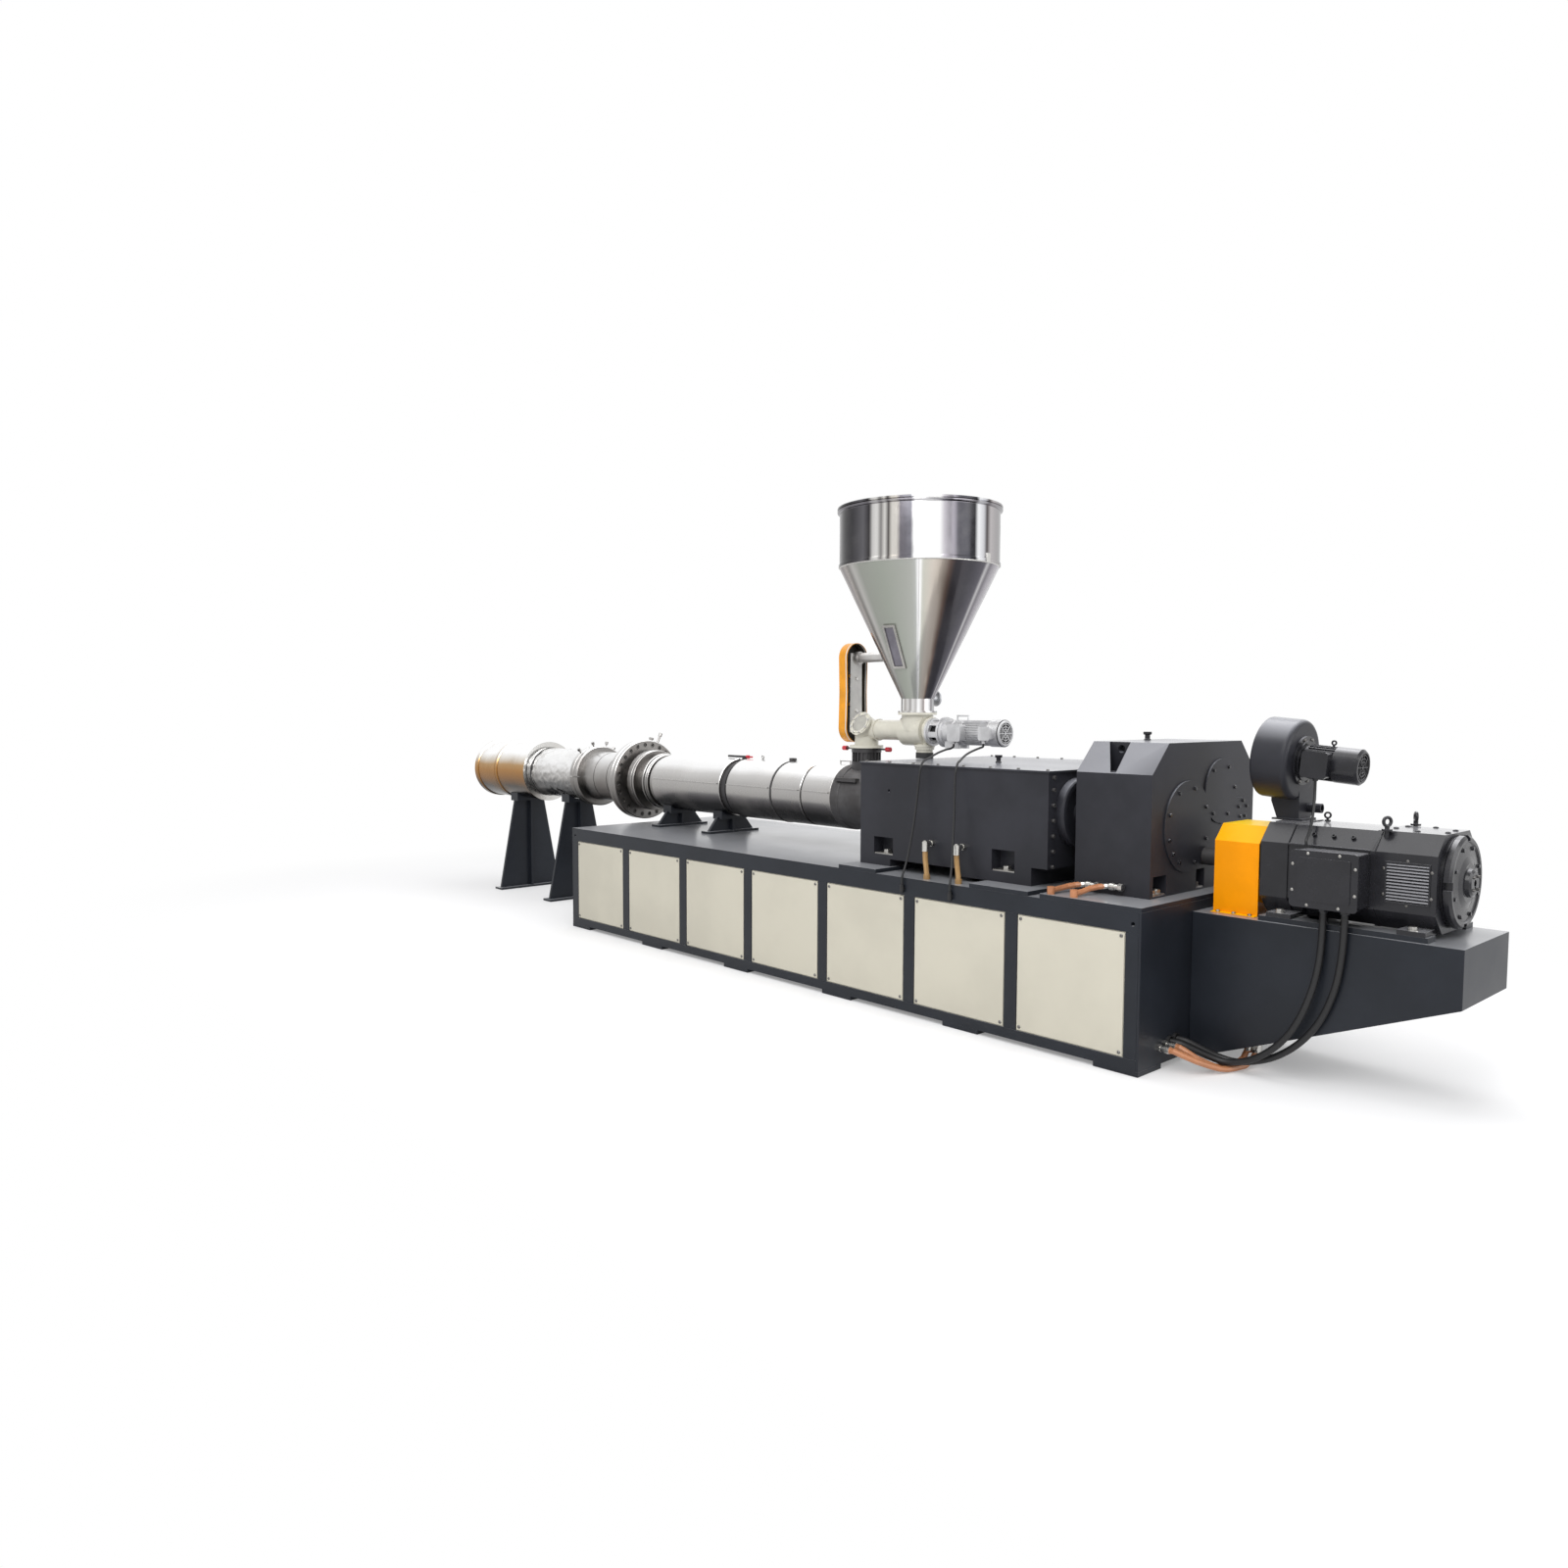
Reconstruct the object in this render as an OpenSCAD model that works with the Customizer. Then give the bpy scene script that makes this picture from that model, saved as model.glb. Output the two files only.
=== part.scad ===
// Twin-screw plastic extruder with a long pipe head, drive motor, gearboxes and feed hopper.
// X runs along the machine: the motor is at the +X end and the pipe leaves at the -X end.
// Y runs across it: -Y is the front, where the operator stands. Z is up from the floor.

/* [Base frame] */
// Number of panel bays along the base
bay_count = 7; // [6:1:8]
// Width of one side panel
panel_w = 590; // [560:5:620]
// Height of one side panel
panel_h = 576; // [540:4:600]
// Width of a post between two panels
post_w = 73; // [50:1:100]
// Distance from the end of the base to its first panel
end_margin = 77; // [60:1:120]
// Width of the base over its long sides
base_w = 1472; // [1400:4:1600]
// Height of a foot plate, which is the gap under the base
foot_h = 22; // [15:1:40]
// Height of the bottom rail
bottom_rail_h = 51; // [40:1:80]
// Height of the top beam
top_beam_h = 94; // [80:1:120]
// Thickness of a rail, beam or post across the machine
beam_w = 120; // [80:5:160]
// Thickness of the raised pads on the deck
pad_t = 22; // [12:1:30]
// Thickness of the plates of the base
plate_t = 12; // [8:1:16]

/* [Motor base] */
// Reach of the motor base from the end of the main base
motor_base_l = 1148; // [1120:4:1240]
// Width of the motor base
motor_base_w = 566; // [560:2:620]
// Height of the motor shaft above the motor base
motor_shaft_h = 230; // [225:1:240]
// Height of the end face of the motor base
motor_base_end_h = 247; // [200:1:320]

/* [Gearbox] */
// Length of the gearbox along the machine
gearbox_l = 404; // [360:2:440]
// Width of the gearbox
gearbox_w = 1004; // [960:2:1060]
// Height of the gearbox above the machine's axis
gearbox_rise = 414; // [380:2:440]
// Chamfer along both upper edges of the gearbox
gearbox_chamfer = 145; // [100:1:180]
// Distance from the end of the base to the gearbox
gearbox_inset = 97; // [60:1:150]

/* [Distribution box] */
// Length of the distribution box
dist_l = 1268; // [1200:2:1320]
// Width of the distribution box
dist_w = 1180; // [1120:2:1240]
// Height of the distribution box above the machine's axis
dist_rise = 258; // [240:2:280]
// Gap between the distribution box and the gearbox
dist_gap = 99; // [90:1:130]
// Thickness of the cover plate on top
dist_cover_t = 12; // [8:1:20]

/* [Barrel] */
// Height of the machine's axis above the floor
axis_h = 1073; // [1060:1:1085]
// Radius of the feed section
feed_r = 209; // [200:1:215]
// Length of the feed section that stands out of the distribution box
feed_l = 642; // [620:1:680]
// Radius of the barrel inside its covers
barrel_r = 150; // [140:1:160]
// Radius of the heater covers
cover_r = 208; // [190:1:215]
// Thickness of the sheet of the heater covers
cover_t = 3; // [2:0.5:5]
// Width of the bands between two covers
band_w = 14; // [10:1:20]
// Length of the first cover
cover_1_l = 269; // [240:1:300]
// Length of the second cover
cover_2_l = 282; // [260:1:300]
// Length of the third cover
cover_3_l = 464; // [440:1:490]
// Length of the vent section
vent_l = 80; // [76:1:110]
// Length of the fourth cover
cover_4_l = 809; // [780:1:840]

/* [Pipe head] */
// Radius of the head's main flange
head_flange_r = 312; // [300:1:330]
// Length of the head's main flange
head_flange_l = 90; // [80:1:110]
// Length of the adapter between barrel and head
adapter_l = 350; // [320:1:380]
// Radius of the first part of the head
head_body_r = 200; // [190:1:215]
// Length of the first part of the head
head_body_l = 560; // [520:1:600]
// Radius of the rear clamp ring
clamp_r = 250; // [240:1:270]
// Length of the rear clamp ring
clamp_l = 110; // [90:1:130]
// Radius of the wrapped middle of the head
wrap_r = 215; // [200:1:225]
// Length of the wrapped middle of the head
wrap_l = 740; // [700:1:780]
// Outer radius of the die barrel at the outlet
die_r = 262; // [250:1:280]
// Length of the die barrel
die_l = 900; // [840:1:960]
// Radius of the bore of the die barrel
die_bore_r = 200; // [190:1:210]
// Radius of the core inside the die
core_r = 197; // [190:1:198]

/* [Feeder] */
// Distance of the feed throat from the distribution box
throat_x = 520; // [500:1:560]
// Radius of the throat block
throat_r = 95; // [90:1:105]
// Height of the throat block above the feed section
throat_h = 111; // [105:1:130]
// Radius of the feeder tube
feeder_r = 62; // [55:1:66]
// Distance between the throat and the hopper
hopper_offset = 425; // [420:1:440]
// Radius of the neck of the feeder under the hopper
neck_r = 100; // [95:1:105]
// Height of the straight neck between the feeder and the hopper's cone
neck_h = 83; // [60:1:110]

/* [Hopper] */
// Radius of the hopper's cylinder
hopper_r = 480; // [440:1:520]
// Height of the hopper's cylinder
hopper_cyl_h = 350; // [300:5:400]
// Height of the hopper's cone
hopper_cone_h = 787; // [740:1:820]
// Thickness of the hopper's sheet
hopper_t = 4; // [3:0.5:8]
// Radius of the bead around the rim
rim_r = 14; // [10:1:18]

/* [Drive] */
// Height of the motor shaft above the floor
motor_axis_h = 929; // [925:1:934]
// Half width of the motor
motor_half_w = 225; // [215:1:235]
// Half height of the motor
motor_half_h = 206; // [200:1:215]
// Chamfer along the motor's edges
motor_chamfer = 83; // [70:1:90]
// Distance from the base to the motor's drive end
motor_x = 290; // [284:1:310]
// Length of the motor
motor_l = 731; // [720:1:770]
// Radius of the fan drum
fan_r = 187; // [175:1:195]
// Depth of the fan drum
fan_w = 166; // [150:1:180]
// Height of the duct between the motor and the fan
duct_h = 87; // [75:1:110]
// Tilt of the fan about the Y axis
fan_tilt = 5; // [4:0.5:6]

/* [Hidden] */
$fn = 64;
seat = 0.3;

base_l = 2 * end_margin + bay_count * panel_w + (bay_count - 1) * post_w;
panel_z = foot_h + bottom_rail_h;
beam_z = panel_z + panel_h;
deck_z = beam_z + top_beam_h;
pad_z = deck_z + pad_t;
half_w = base_w / 2;

gearbox_x1 = -gearbox_inset;
gearbox_x0 = gearbox_x1 - gearbox_l;
dist_x1 = gearbox_x0 - dist_gap;
dist_x0 = dist_x1 - dist_l;
dist_top = axis_h + dist_rise;
gearbox_h = axis_h + gearbox_rise - pad_z;
motor_base_top = motor_axis_h - motor_shaft_h;

feed_x0 = dist_x0 - feed_l;
band_1_x = feed_x0 - cover_1_l - band_w;
band_2_x = band_1_x - cover_2_l - band_w;
vent_x0 = band_2_x - cover_3_l - vent_l;
cover_4_x0 = vent_x0 - cover_4_l;
head_x1 = cover_4_x0 - adapter_l;
body_x1 = head_x1 - head_flange_l;
clamp_x1 = body_x1 - head_body_l;
wrap_x1 = clamp_x1 - clamp_l;
die_x1 = wrap_x1 - wrap_l;
die_x0 = die_x1 - die_l;

// The feeder stands on the feed section, and the hopper on the feeder
throat_cx = dist_x0 - throat_x;
hopper_cx = throat_cx + hopper_offset;
throat_rise = 117;
tee_rise = 110;
feeder_h = axis_h + feed_r + throat_h + throat_rise;
hopper_cone_z = feeder_h + tee_rise + neck_h;
hopper_cyl_z = hopper_cone_z + hopper_cone_h;
hopper_top = hopper_cyl_z + hopper_cyl_h;

// The fan stands on its duct, and the duct on the motor
motor_top = motor_axis_h + motor_half_h;
spout_z = motor_top + duct_h;
fan_h = spout_z + fan_r + 4;

// Half of the difference between the two ends' reach, which puts the origin in the middle
centre_shift = -(die_x0 + motor_base_l) / 2;

// Colours as in the photo
frame_grey = [0.13, 0.15, 0.18];
box_grey = [0.21, 0.22, 0.26];
panel_cream = [0.80, 0.78, 0.71];
guard_yellow = [0.97, 0.64, 0.08];
feeder_cream = [0.85, 0.83, 0.77];
motor_black = [0.12, 0.13, 0.15];
silver = [0.72, 0.73, 0.74];
steel = [0.55, 0.56, 0.58];
dark_steel = [0.25, 0.25, 0.26];
copper = [0.72, 0.42, 0.26];
knob_red = [0.72, 0.12, 0.16];
cable_black = [0.05, 0.05, 0.06];

// Cylinder along X from x0 to x1
module along_x(r, x0, x1, y = 0, z = axis_h) {
    translate([x0, y, z])
        rotate([0, 90, 0])
            cylinder(r = r, h = x1 - x0);
}

// Tube along X from x0 to x1
module tube_x(r, bore, x0, x1, z = axis_h) {
    difference() {
        along_x(r, x0, x1, z = z);
        along_x(bore, x0 - 1, x1 + 1, z = z);
    }
}

// Cylinder along Y from y0 to y1
module along_y(r, y0, y1, x, z) {
    translate([x, y1, z])
        rotate([90, 0, 0])
            cylinder(r = r, h = y1 - y0);
}

// Upright cylinder from z0 to z1
module upright(r, z0, z1, x, y = 0) {
    translate([x, y, z0])
        cylinder(r = r, h = z1 - z0);
}

// Rectangle with round corners, with its lower left corner on the origin
module round_plate(w, h, r) {
    translate([r, 0])
        square([w - 2 * r, h]);
    translate([0, r])
        square([w, h - 2 * r]);
    for (x = [r, w - r], y = [r, h - r])
        translate([x, y])
            circle(r);
}

// Box whose four edges along Y are rounded, from corner a to corner b
module round_box(a, b, r) {
    translate([a[0], b[1], a[2]])
        rotate([90, 0, 0])
            linear_extrude(b[1] - a[1])
                round_plate(b[0] - a[0], b[2] - a[2], r);
}

// Block from one corner to the opposite one
module block(a, b) {
    translate(a)
        cube(b - a);
}

// Both long sides of the machine
module both_sides() {
    children();
    mirror([0, 1, 0])
        children();
}

// Rectangle with both upper corners cut, standing on y = 0
function house(half, top, chamfer) = [
    [-half, 0], [-half, top - chamfer], [-half + chamfer, top],
    [half - chamfer, top], [half, top - chamfer], [half, 0]
];

// Octagon with straight sides longer than its corners
function octagon(half_y, half_z, chamfer) = [
    [-half_y, -half_z + chamfer], [-half_y, half_z - chamfer], [-half_y + chamfer, half_z],
    [half_y - chamfer, half_z], [half_y, half_z - chamfer], [half_y, -half_z + chamfer],
    [half_y - chamfer, -half_z], [-half_y + chamfer, -half_z]
];

// Outline in the YZ plane, drawn along X from x0 to x1
module drawn_x(points, x0, x1, z = 0) {
    translate([x0, 0, z])
        rotate([90, 0, 90])
            linear_extrude(x1 - x0)
                polygon(points);
}

// Outline in the XZ plane, drawn across Y over the width w
module drawn_y(points, w) {
    translate([0, w / 2, 0])
        rotate([90, 0, 0])
            linear_extrude(w)
                polygon(points);
}

// Solid of revolution about the machine's axis, from points [distance along -X, radius]
module turned(points, x, z = axis_h) {
    translate([x, 0, z])
        rotate([0, -90, 0])
            rotate_extrude()
                polygon([for (p = points) [p[1], p[0]]]);
}

// The same about an axis beside the machine's own
module turned_at(points, x, y, z) {
    translate([0, y, 0])
        turned(points, x, z);
}

function post_x(i) = i == 0 ? 0 : -(end_margin + i * panel_w + (i - 1) * post_w);
function post_width(i) = (i == 0 || i == bay_count) ? end_margin : post_w;
function bay_x(i) = -(end_margin + (i + 1) * panel_w + i * post_w);

hole_from_end = 41;
hole_z = 688;
module base_rails() {
    color(frame_grey)
        both_sides() {
            difference() {
                block([-base_l + plate_t, -half_w, beam_z], [-plate_t, -half_w + beam_w, deck_z]);
                for (x = [-hole_from_end, -base_l + hole_from_end])
                    along_y(10, -half_w - 1, -half_w + 30, x, hole_z);
            }
            block([-base_l + plate_t, -half_w, foot_h], [-plate_t, -half_w + beam_w, panel_z]);
        }
}

module base_posts() {
    color(frame_grey)
        both_sides()
            for (i = [0:bay_count]) {
                x1 = i == 0 ? -plate_t : post_x(i);
                x0 = i == bay_count ? -base_l + plate_t : post_x(i) - post_width(i);
                block([x0, -half_w, panel_z], [x1, -half_w + beam_w, beam_z]);
            }
}

module base_cross_members() {
    member_h = top_beam_h - plate_t;
    color(frame_grey)
        for (i = [1:bay_count - 1]) {
            block([post_x(i) - post_w, -half_w + beam_w, beam_z], [post_x(i), half_w - beam_w, beam_z + member_h]);
            block([post_x(i) - post_w, -half_w + beam_w, foot_h], [post_x(i), half_w - beam_w, panel_z]);
        }
}

module base_end_plates() {
    color(frame_grey)
        for (x = [-plate_t, -base_l])
            block([x, -half_w, foot_h], [x + plate_t, half_w, deck_z]);
}

// Deck plate between the beams, with the pads for both boxes welded on it
pad_foot_w = 285;
pad_mid_w = 358;
pad_reach = 8;
module base_deck() {
    color(frame_grey) {
        block([-base_l + plate_t, -half_w + beam_w, deck_z - plate_t], [-plate_t, half_w - beam_w, deck_z]);
        block([dist_x0 - 30, -half_w, deck_z], [dist_x0 + pad_foot_w - 30, half_w, pad_z]);
        block([dist_x1 - pad_mid_w - pad_reach, -half_w, deck_z], [dist_x1 - pad_reach, half_w, pad_z]);
        block([gearbox_x0 - 40, -half_w, deck_z], [0, half_w, pad_z]);
    }
}

foot_l = 230;
foot_w = 200;
foot_count = 6;
module base_feet() {
    pitch = (base_l - foot_l) / (foot_count - 1);
    color(frame_grey)
        both_sides()
            for (i = [0:foot_count - 1])
                block([-foot_l - i * pitch, -half_w, 0], [-i * pitch, -half_w + foot_w, foot_h]);
}

panel_t = 20;
panel_edge = 5;
panel_lip = 6;
module side_panels() {
    color(panel_cream)
        for (i = [0:bay_count - 1])
            translate([bay_x(i), -half_w + panel_lip, panel_z]) {
                cube([panel_w, panel_t, panel_h]);
                translate([panel_edge, -panel_lip, panel_edge])
                    cube([panel_w - 2 * panel_edge, panel_lip + 1, panel_h - 2 * panel_edge]);
            }
}

module front_panels() {
    side_panels();
}

module rear_panels() {
    mirror([0, 1, 0])
        side_panels();
}

motor_base_toe = 62;
rail_t = 24;
rail_w = 90;
seat_plate_t = 8;
// Side outline of the motor base, with its sloping underside the given distance lower
module motor_base_body(low) {
    drawn_y([
        [0, foot_h - low], [motor_base_toe, foot_h - low], [motor_base_l, motor_base_top - motor_base_end_h - low],
        [motor_base_l, motor_base_top], [0, motor_base_top]
    ], motor_base_w);
}

module motor_base() {
    color(box_grey) {
        motor_base_body(0);
        both_sides()
            block([motor_x + 20, -motor_base_w / 2 + seat_plate_t, motor_base_top],
                  [motor_x + motor_l - 10, -motor_base_w / 2 + seat_plate_t + rail_w, motor_base_top + rail_t]);
    }
}

louvre_count = 12;
louvre_pitch = 13.4;
louvre_l = 162;
louvre_x = 829;
louvre_depth = 14;
louvre_frame = 7;
// Slatted air opening in the side of the motor
module louvre_slats() {
    z0 = motor_axis_h - louvre_count * louvre_pitch / 2;
    for (i = [0:louvre_count - 1])
        translate([louvre_x - 1, -motor_half_w - 5, z0 + (i + 0.3) * louvre_pitch])
            rotate([40, 0, 0])
                cube([louvre_l + 2, 17, 3]);
}

module louvre_opening(grow, depth, proud) {
    h = louvre_count * louvre_pitch;
    block([louvre_x - grow, -motor_half_w - proud, motor_axis_h - h / 2 - grow],
          [louvre_x + louvre_l + grow, -motor_half_w + depth, motor_axis_h + h / 2 + grow]);
}

bracket_l = 122;
rear_l = 261;
side_step = 6;
top_step = 4;
rim_step = 4;
lip_rise = 118;
foot_len = 110;
foot_reach = 275;
foot_t = 20;
module motor_frame() {
    x1 = motor_x + motor_l;
    bottom = motor_axis_h - motor_half_h;
    color(motor_black) {
        difference() {
            union() {
                drawn_x(octagon(motor_half_w, motor_half_h, motor_chamfer),
                    motor_x, motor_x + bracket_l, motor_axis_h);
                drawn_x(octagon(motor_half_w - side_step, motor_half_h - top_step, motor_chamfer),
                    motor_x + bracket_l - 1, x1 - rear_l + 1, motor_axis_h);
                drawn_x(octagon(motor_half_w, motor_half_h, motor_chamfer), x1 - rear_l, x1, motor_axis_h);
                both_sides()
                    louvre_opening(louvre_frame, 2, 6);
            }
            both_sides()
                louvre_opening(0, louvre_depth, 7);
        }
        both_sides() {
            louvre_slats();
            for (x = [motor_x + 55, x1 - 130])
                block([x, -foot_reach, bottom], [x + foot_len, -motor_half_w + motor_chamfer + 10, bottom + foot_t]);
        }
        // Lip of the hood over the terminal box, and the rims of the rear section
        both_sides()
            block([motor_x + bracket_l - 1, -motor_half_w - 6, motor_axis_h + lip_rise],
                  [x1 - rear_l + 1, -motor_half_w + side_step + 4, motor_axis_h + lip_rise + 8]);
        for (x = [x1 - rear_l, x1 - 22])
            drawn_x(octagon(motor_half_w + rim_step, motor_half_h, motor_chamfer), x, x + 22, motor_axis_h);
    }
}

hub_r = 62;
end_rim_r = 197;
notch_w = 34;
module motor_end_cover() {
    x1 = motor_x + motor_l;
    color(motor_black)
        difference() {
            turned([[0, 0], [0, 190], [-6, 190], [-6, end_rim_r - 6], [-12, end_rim_r], [-32, end_rim_r],
                [-42, end_rim_r - 12], [-42, end_rim_r - 26], [-36, end_rim_r - 30], [-42, hub_r + 48],
                [-50, hub_r + 20], [-50, hub_r], [-64, hub_r - 4], [-72, hub_r - 14], [-72, 0]], x1, motor_axis_h);
            for (turn = [0, 90, 180])
                translate([x1 + 12, 0, motor_axis_h])
                    rotate([turn, 0, 0])
                        translate([0, -notch_w / 2, end_rim_r - 24])
                            cube([40, notch_w, 40]);
            along_x(15, x1 + 50, x1 + 80, z = motor_axis_h);
            block([x1 + 58, -6, motor_axis_h - 30], [x1 + 80, 6, motor_axis_h]);
        }
}

box_l = 283;
box_h = 246;
box_depth = 150;
box_x = 486;
box_drop = 129;
lid_t = 14;
gland_r = 21;
module motor_terminal_box() {
    y1 = -(motor_half_w - side_step);
    y0 = y1 - box_depth;
    z0 = motor_axis_h - box_drop;
    color(motor_black) {
        round_box([box_x + 4, y0 + lid_t - 1, z0 + 4], [box_x + box_l - 4, y1, z0 + box_h - 4], 14);
        round_box([box_x, y0, z0], [box_x + box_l, y0 + lid_t, z0 + box_h], 18);
        round_box([box_x + 30, y0 - 4, z0 + 30], [box_x + box_l - 30, y0 + 1, z0 + box_h - 30], 10);
        for (p = [motor_route_1[0], motor_route_2[0]]) {
            upright(gland_r - 4, p[2], z0 + 10, p[0], p[1]);
            translate([0, 0, p[2] + 6])
                translate([p[0], p[1], 0])
                    cylinder(r = gland_r, h = z0 - p[2] - 6, $fn = 6);
        }
    }
}

// Eye bolt with a ring on a collar, standing on z = 0
module eye_bolt(r, t) {
    cylinder(r = t * 1.5, h = t * 0.6);
    cylinder(r = t * 0.7, h = t * 1.6);
    translate([0, 0, t + r])
        rotate([90, 0, 0])
            rotate_extrude()
                translate([r - t / 2, 0])
                    circle(t / 2);
}

eye_x = 795;
eye_y = 165;
eye_inset = 6;
small_eye_x = 432;
small_eye_y = 140;
module motor_lifting_eyes() {
    chamfer_z = motor_top - (eye_y - (motor_half_w - motor_chamfer));
    color(motor_black) {
        both_sides()
            difference() {
                translate([eye_x + eye_inset, -eye_y, chamfer_z - 12])
                    rotate([0, 0, 60]) {
                        cylinder(r = 9, h = 50);
                        translate([0, 0, 36])
                            eye_bolt(25, 14);
                    }
                drawn_x(octagon(motor_half_w, motor_half_h, motor_chamfer), eye_x - 20, eye_x + 60, motor_axis_h);
            }
        translate([small_eye_x, small_eye_y, motor_top - top_step])
            rotate([0, 0, 30])
                eye_bolt(17, 9);
    }
}

guard_half_w = 200;
guard_top = motor_axis_h + 181;
guard_chamfer = 75;
guard_x0 = 60;
guard_l = 212;
guard_t = 3;
guard_foot_w = 28;
module coupling_guard() {
    inner = [for (p = house(guard_half_w - guard_t, guard_top - guard_t - motor_base_top, guard_chamfer - 1.2)) p];
    color(guard_yellow) {
        difference() {
            drawn_x(house(guard_half_w, guard_top - motor_base_top, guard_chamfer),
                guard_x0, guard_x0 + guard_l, motor_base_top);
            translate([0, 0, -1])
                drawn_x(inner, guard_x0 - 1, guard_x0 + guard_l + 1, motor_base_top);
        }
        both_sides()
            block([guard_x0, -guard_half_w - guard_foot_w, motor_base_top],
                  [guard_x0 + guard_l, -guard_half_w + 1, motor_base_top + guard_t]);
    }
}

// Motor to gearbox, and gearbox to distribution box
coupling_r = 90;
shaft_r = 45;
coupling_l = 124;
tie_r = 120;
module shaft_couplings() {
    mid = guard_x0 + guard_l / 2;
    half = coupling_l / 2;
    color(dark_steel) {
        along_x(shaft_r, gearbox_x1, motor_x, z = motor_axis_h);
        turned([[-half, 0], [-half, coupling_r - 20], [-20, coupling_r - 20], [-14, coupling_r], [-3, coupling_r],
            [-3, coupling_r - 8], [3, coupling_r - 8], [3, coupling_r], [14, coupling_r], [20, coupling_r - 20],
            [half, coupling_r - 20], [half, 0]], mid, motor_axis_h);
        along_x(tie_r, dist_x1, gearbox_x0);
    }
}

fan_x = motor_x + 80;
module fan_placed() {
    translate([fan_x, 0, fan_h])
        rotate([0, fan_tilt, 0])
            children();
}

// Scroll fan: drum with rounded edges, an inlet with a guard in its back and a duct down to the motor
drum_edge = 26;
inlet_r = 100;
duct_wall = 12;
duct_foot_t = 8;
duct_foot_w = 152;
port_r = 22;
module fan_housing() {
    x1 = fan_x - duct_wall;
    x0 = fan_x - fan_w + 2 * duct_wall;
    front = [for (a = [0:15:90]) [fan_r - drum_edge + drum_edge * sin(a), drum_edge - drum_edge * cos(a)]];
    back = [for (a = [0:30:90]) [fan_r - duct_wall + duct_wall * cos(a), fan_w - duct_wall + duct_wall * sin(a)]];
    color(box_grey) {
        fan_placed()
            rotate([0, -90, 0]) {
                difference() {
                    rotate_extrude()
                        polygon(concat([[0, 0]], front, back, [[0, fan_w]]));
                    translate([0, 0, fan_w - 20])
                        cylinder(r = inlet_r, h = 21);
                }
                for (r = [30, 54, 78])
                    translate([0, 0, fan_w - 5])
                        difference() {
                            cylinder(r = r + 2, h = 4);
                            translate([0, 0, -1])
                                cylinder(r = r - 2, h = 6);
                        }
                for (turn = [0, 60, 120])
                    rotate([0, 0, turn])
                        translate([-inlet_r - 3, -2, fan_w - 5])
                            cube([2 * inlet_r + 6, 4, 4]);
            }
        block([x0, 0, spout_z], [x1, fan_r - 3, fan_h]);
        hull() {
            block([x0, 0, spout_z - 1], [x1, fan_r - 3, spout_z]);
            block([x0 + 28, 0, motor_top + duct_foot_t], [x1, fan_r - 57, motor_top + duct_foot_t + 1]);
        }
        block([x0 + 12, -16, motor_top], [fan_x + 10, duct_foot_w - 16, motor_top + duct_foot_t]);
        difference() {
            along_x(port_r, x1 - 4, x1 + 64, fan_r - 88, motor_top + 55);
            along_x(port_r - 6, x1 + 40, x1 + 65, fan_r - 88, motor_top + 55);
        }
    }
}

// Flange motor of the fan, with cooling fins and a cowl whose end is a round grille
fan_motor_r = 70;
cowl_r = 81;
cowl_l = 112;
fan_motor_l = 266;
fin_count = 28;
fan_box_w = 116;
gland_x = 100;
gland_y = -100;
gland_drop = 85;
module fan_motor() {
    cowl_x = fan_motor_l - cowl_l;
    color(motor_black) {
        fan_placed() {
            rotate([0, 90, 0]) {
                cylinder(r = 113, h = 12);
                translate([0, 0, 11])
                    cylinder(r = 92, h = 8);
                cylinder(r = fan_motor_r, h = cowl_x + 1);
                motor_cowl(cowl_r, cowl_x, fan_motor_l);
            }
            motor_fins(fan_motor_r + 9, 34, cowl_x + 1, fin_count);
            round_box([46, -fan_motor_r - 40, -60], [46 + fan_box_w - 8, -20, 52], 12);
            round_box([42, -fan_motor_r - 54, -64], [42 + fan_box_w, -fan_motor_r - 38, 56], 18);
            translate([128, 0, fan_motor_r + 4])
                eye_bolt(13, 8);
        }
        upright(11, fan_h - gland_drop, fan_h - gland_drop + 30, fan_x + gland_x, gland_y);
    }
}

// Cooling fins along X round a motor, from x0 to x1
module motor_fins(r, x0, x1, count) {
    for (i = [0:count - 1])
        rotate([(i + 0.5) * 360 / count, 0, 0])
            block([x0, -1.5, r - 20], [x1, 1.5, r]);
}

// Fan cowl along Z from z0 to z1, with a recessed guard of rings and spokes in its end
module motor_cowl(r, z0, z1) {
    bevel = 10;
    open_r = r * 0.78;
    difference() {
        rotate_extrude()
            polygon([[0, z0], [r, z0], [r, z1 - bevel], [r - bevel, z1], [0, z1]]);
        translate([0, 0, z1 - 9])
            cylinder(r = open_r, h = 10);
    }
    for (k = [0.4, 0.64, 0.88])
        translate([0, 0, z1 - 6])
            difference() {
                cylinder(r = open_r * k + 1.6, h = 4);
                translate([0, 0, -1])
                    cylinder(r = open_r * k - 1.6, h = 6);
            }
    for (turn = [0:45:135])
        rotate([0, 0, turn])
            translate([-open_r - 1, -1.6, z1 - 7])
                cube([2 * open_r + 2, 3.2, 5]);
}

// Pockets in the foot of the gearbox for its bolts, as [y, width], and a lifting pocket in each chamfer
foot_pockets = [[-416, 119], [-33, 81], [350, 119]];
pocket_z = 8;
pocket_h = 94;
pocket_depth = 70;
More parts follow.
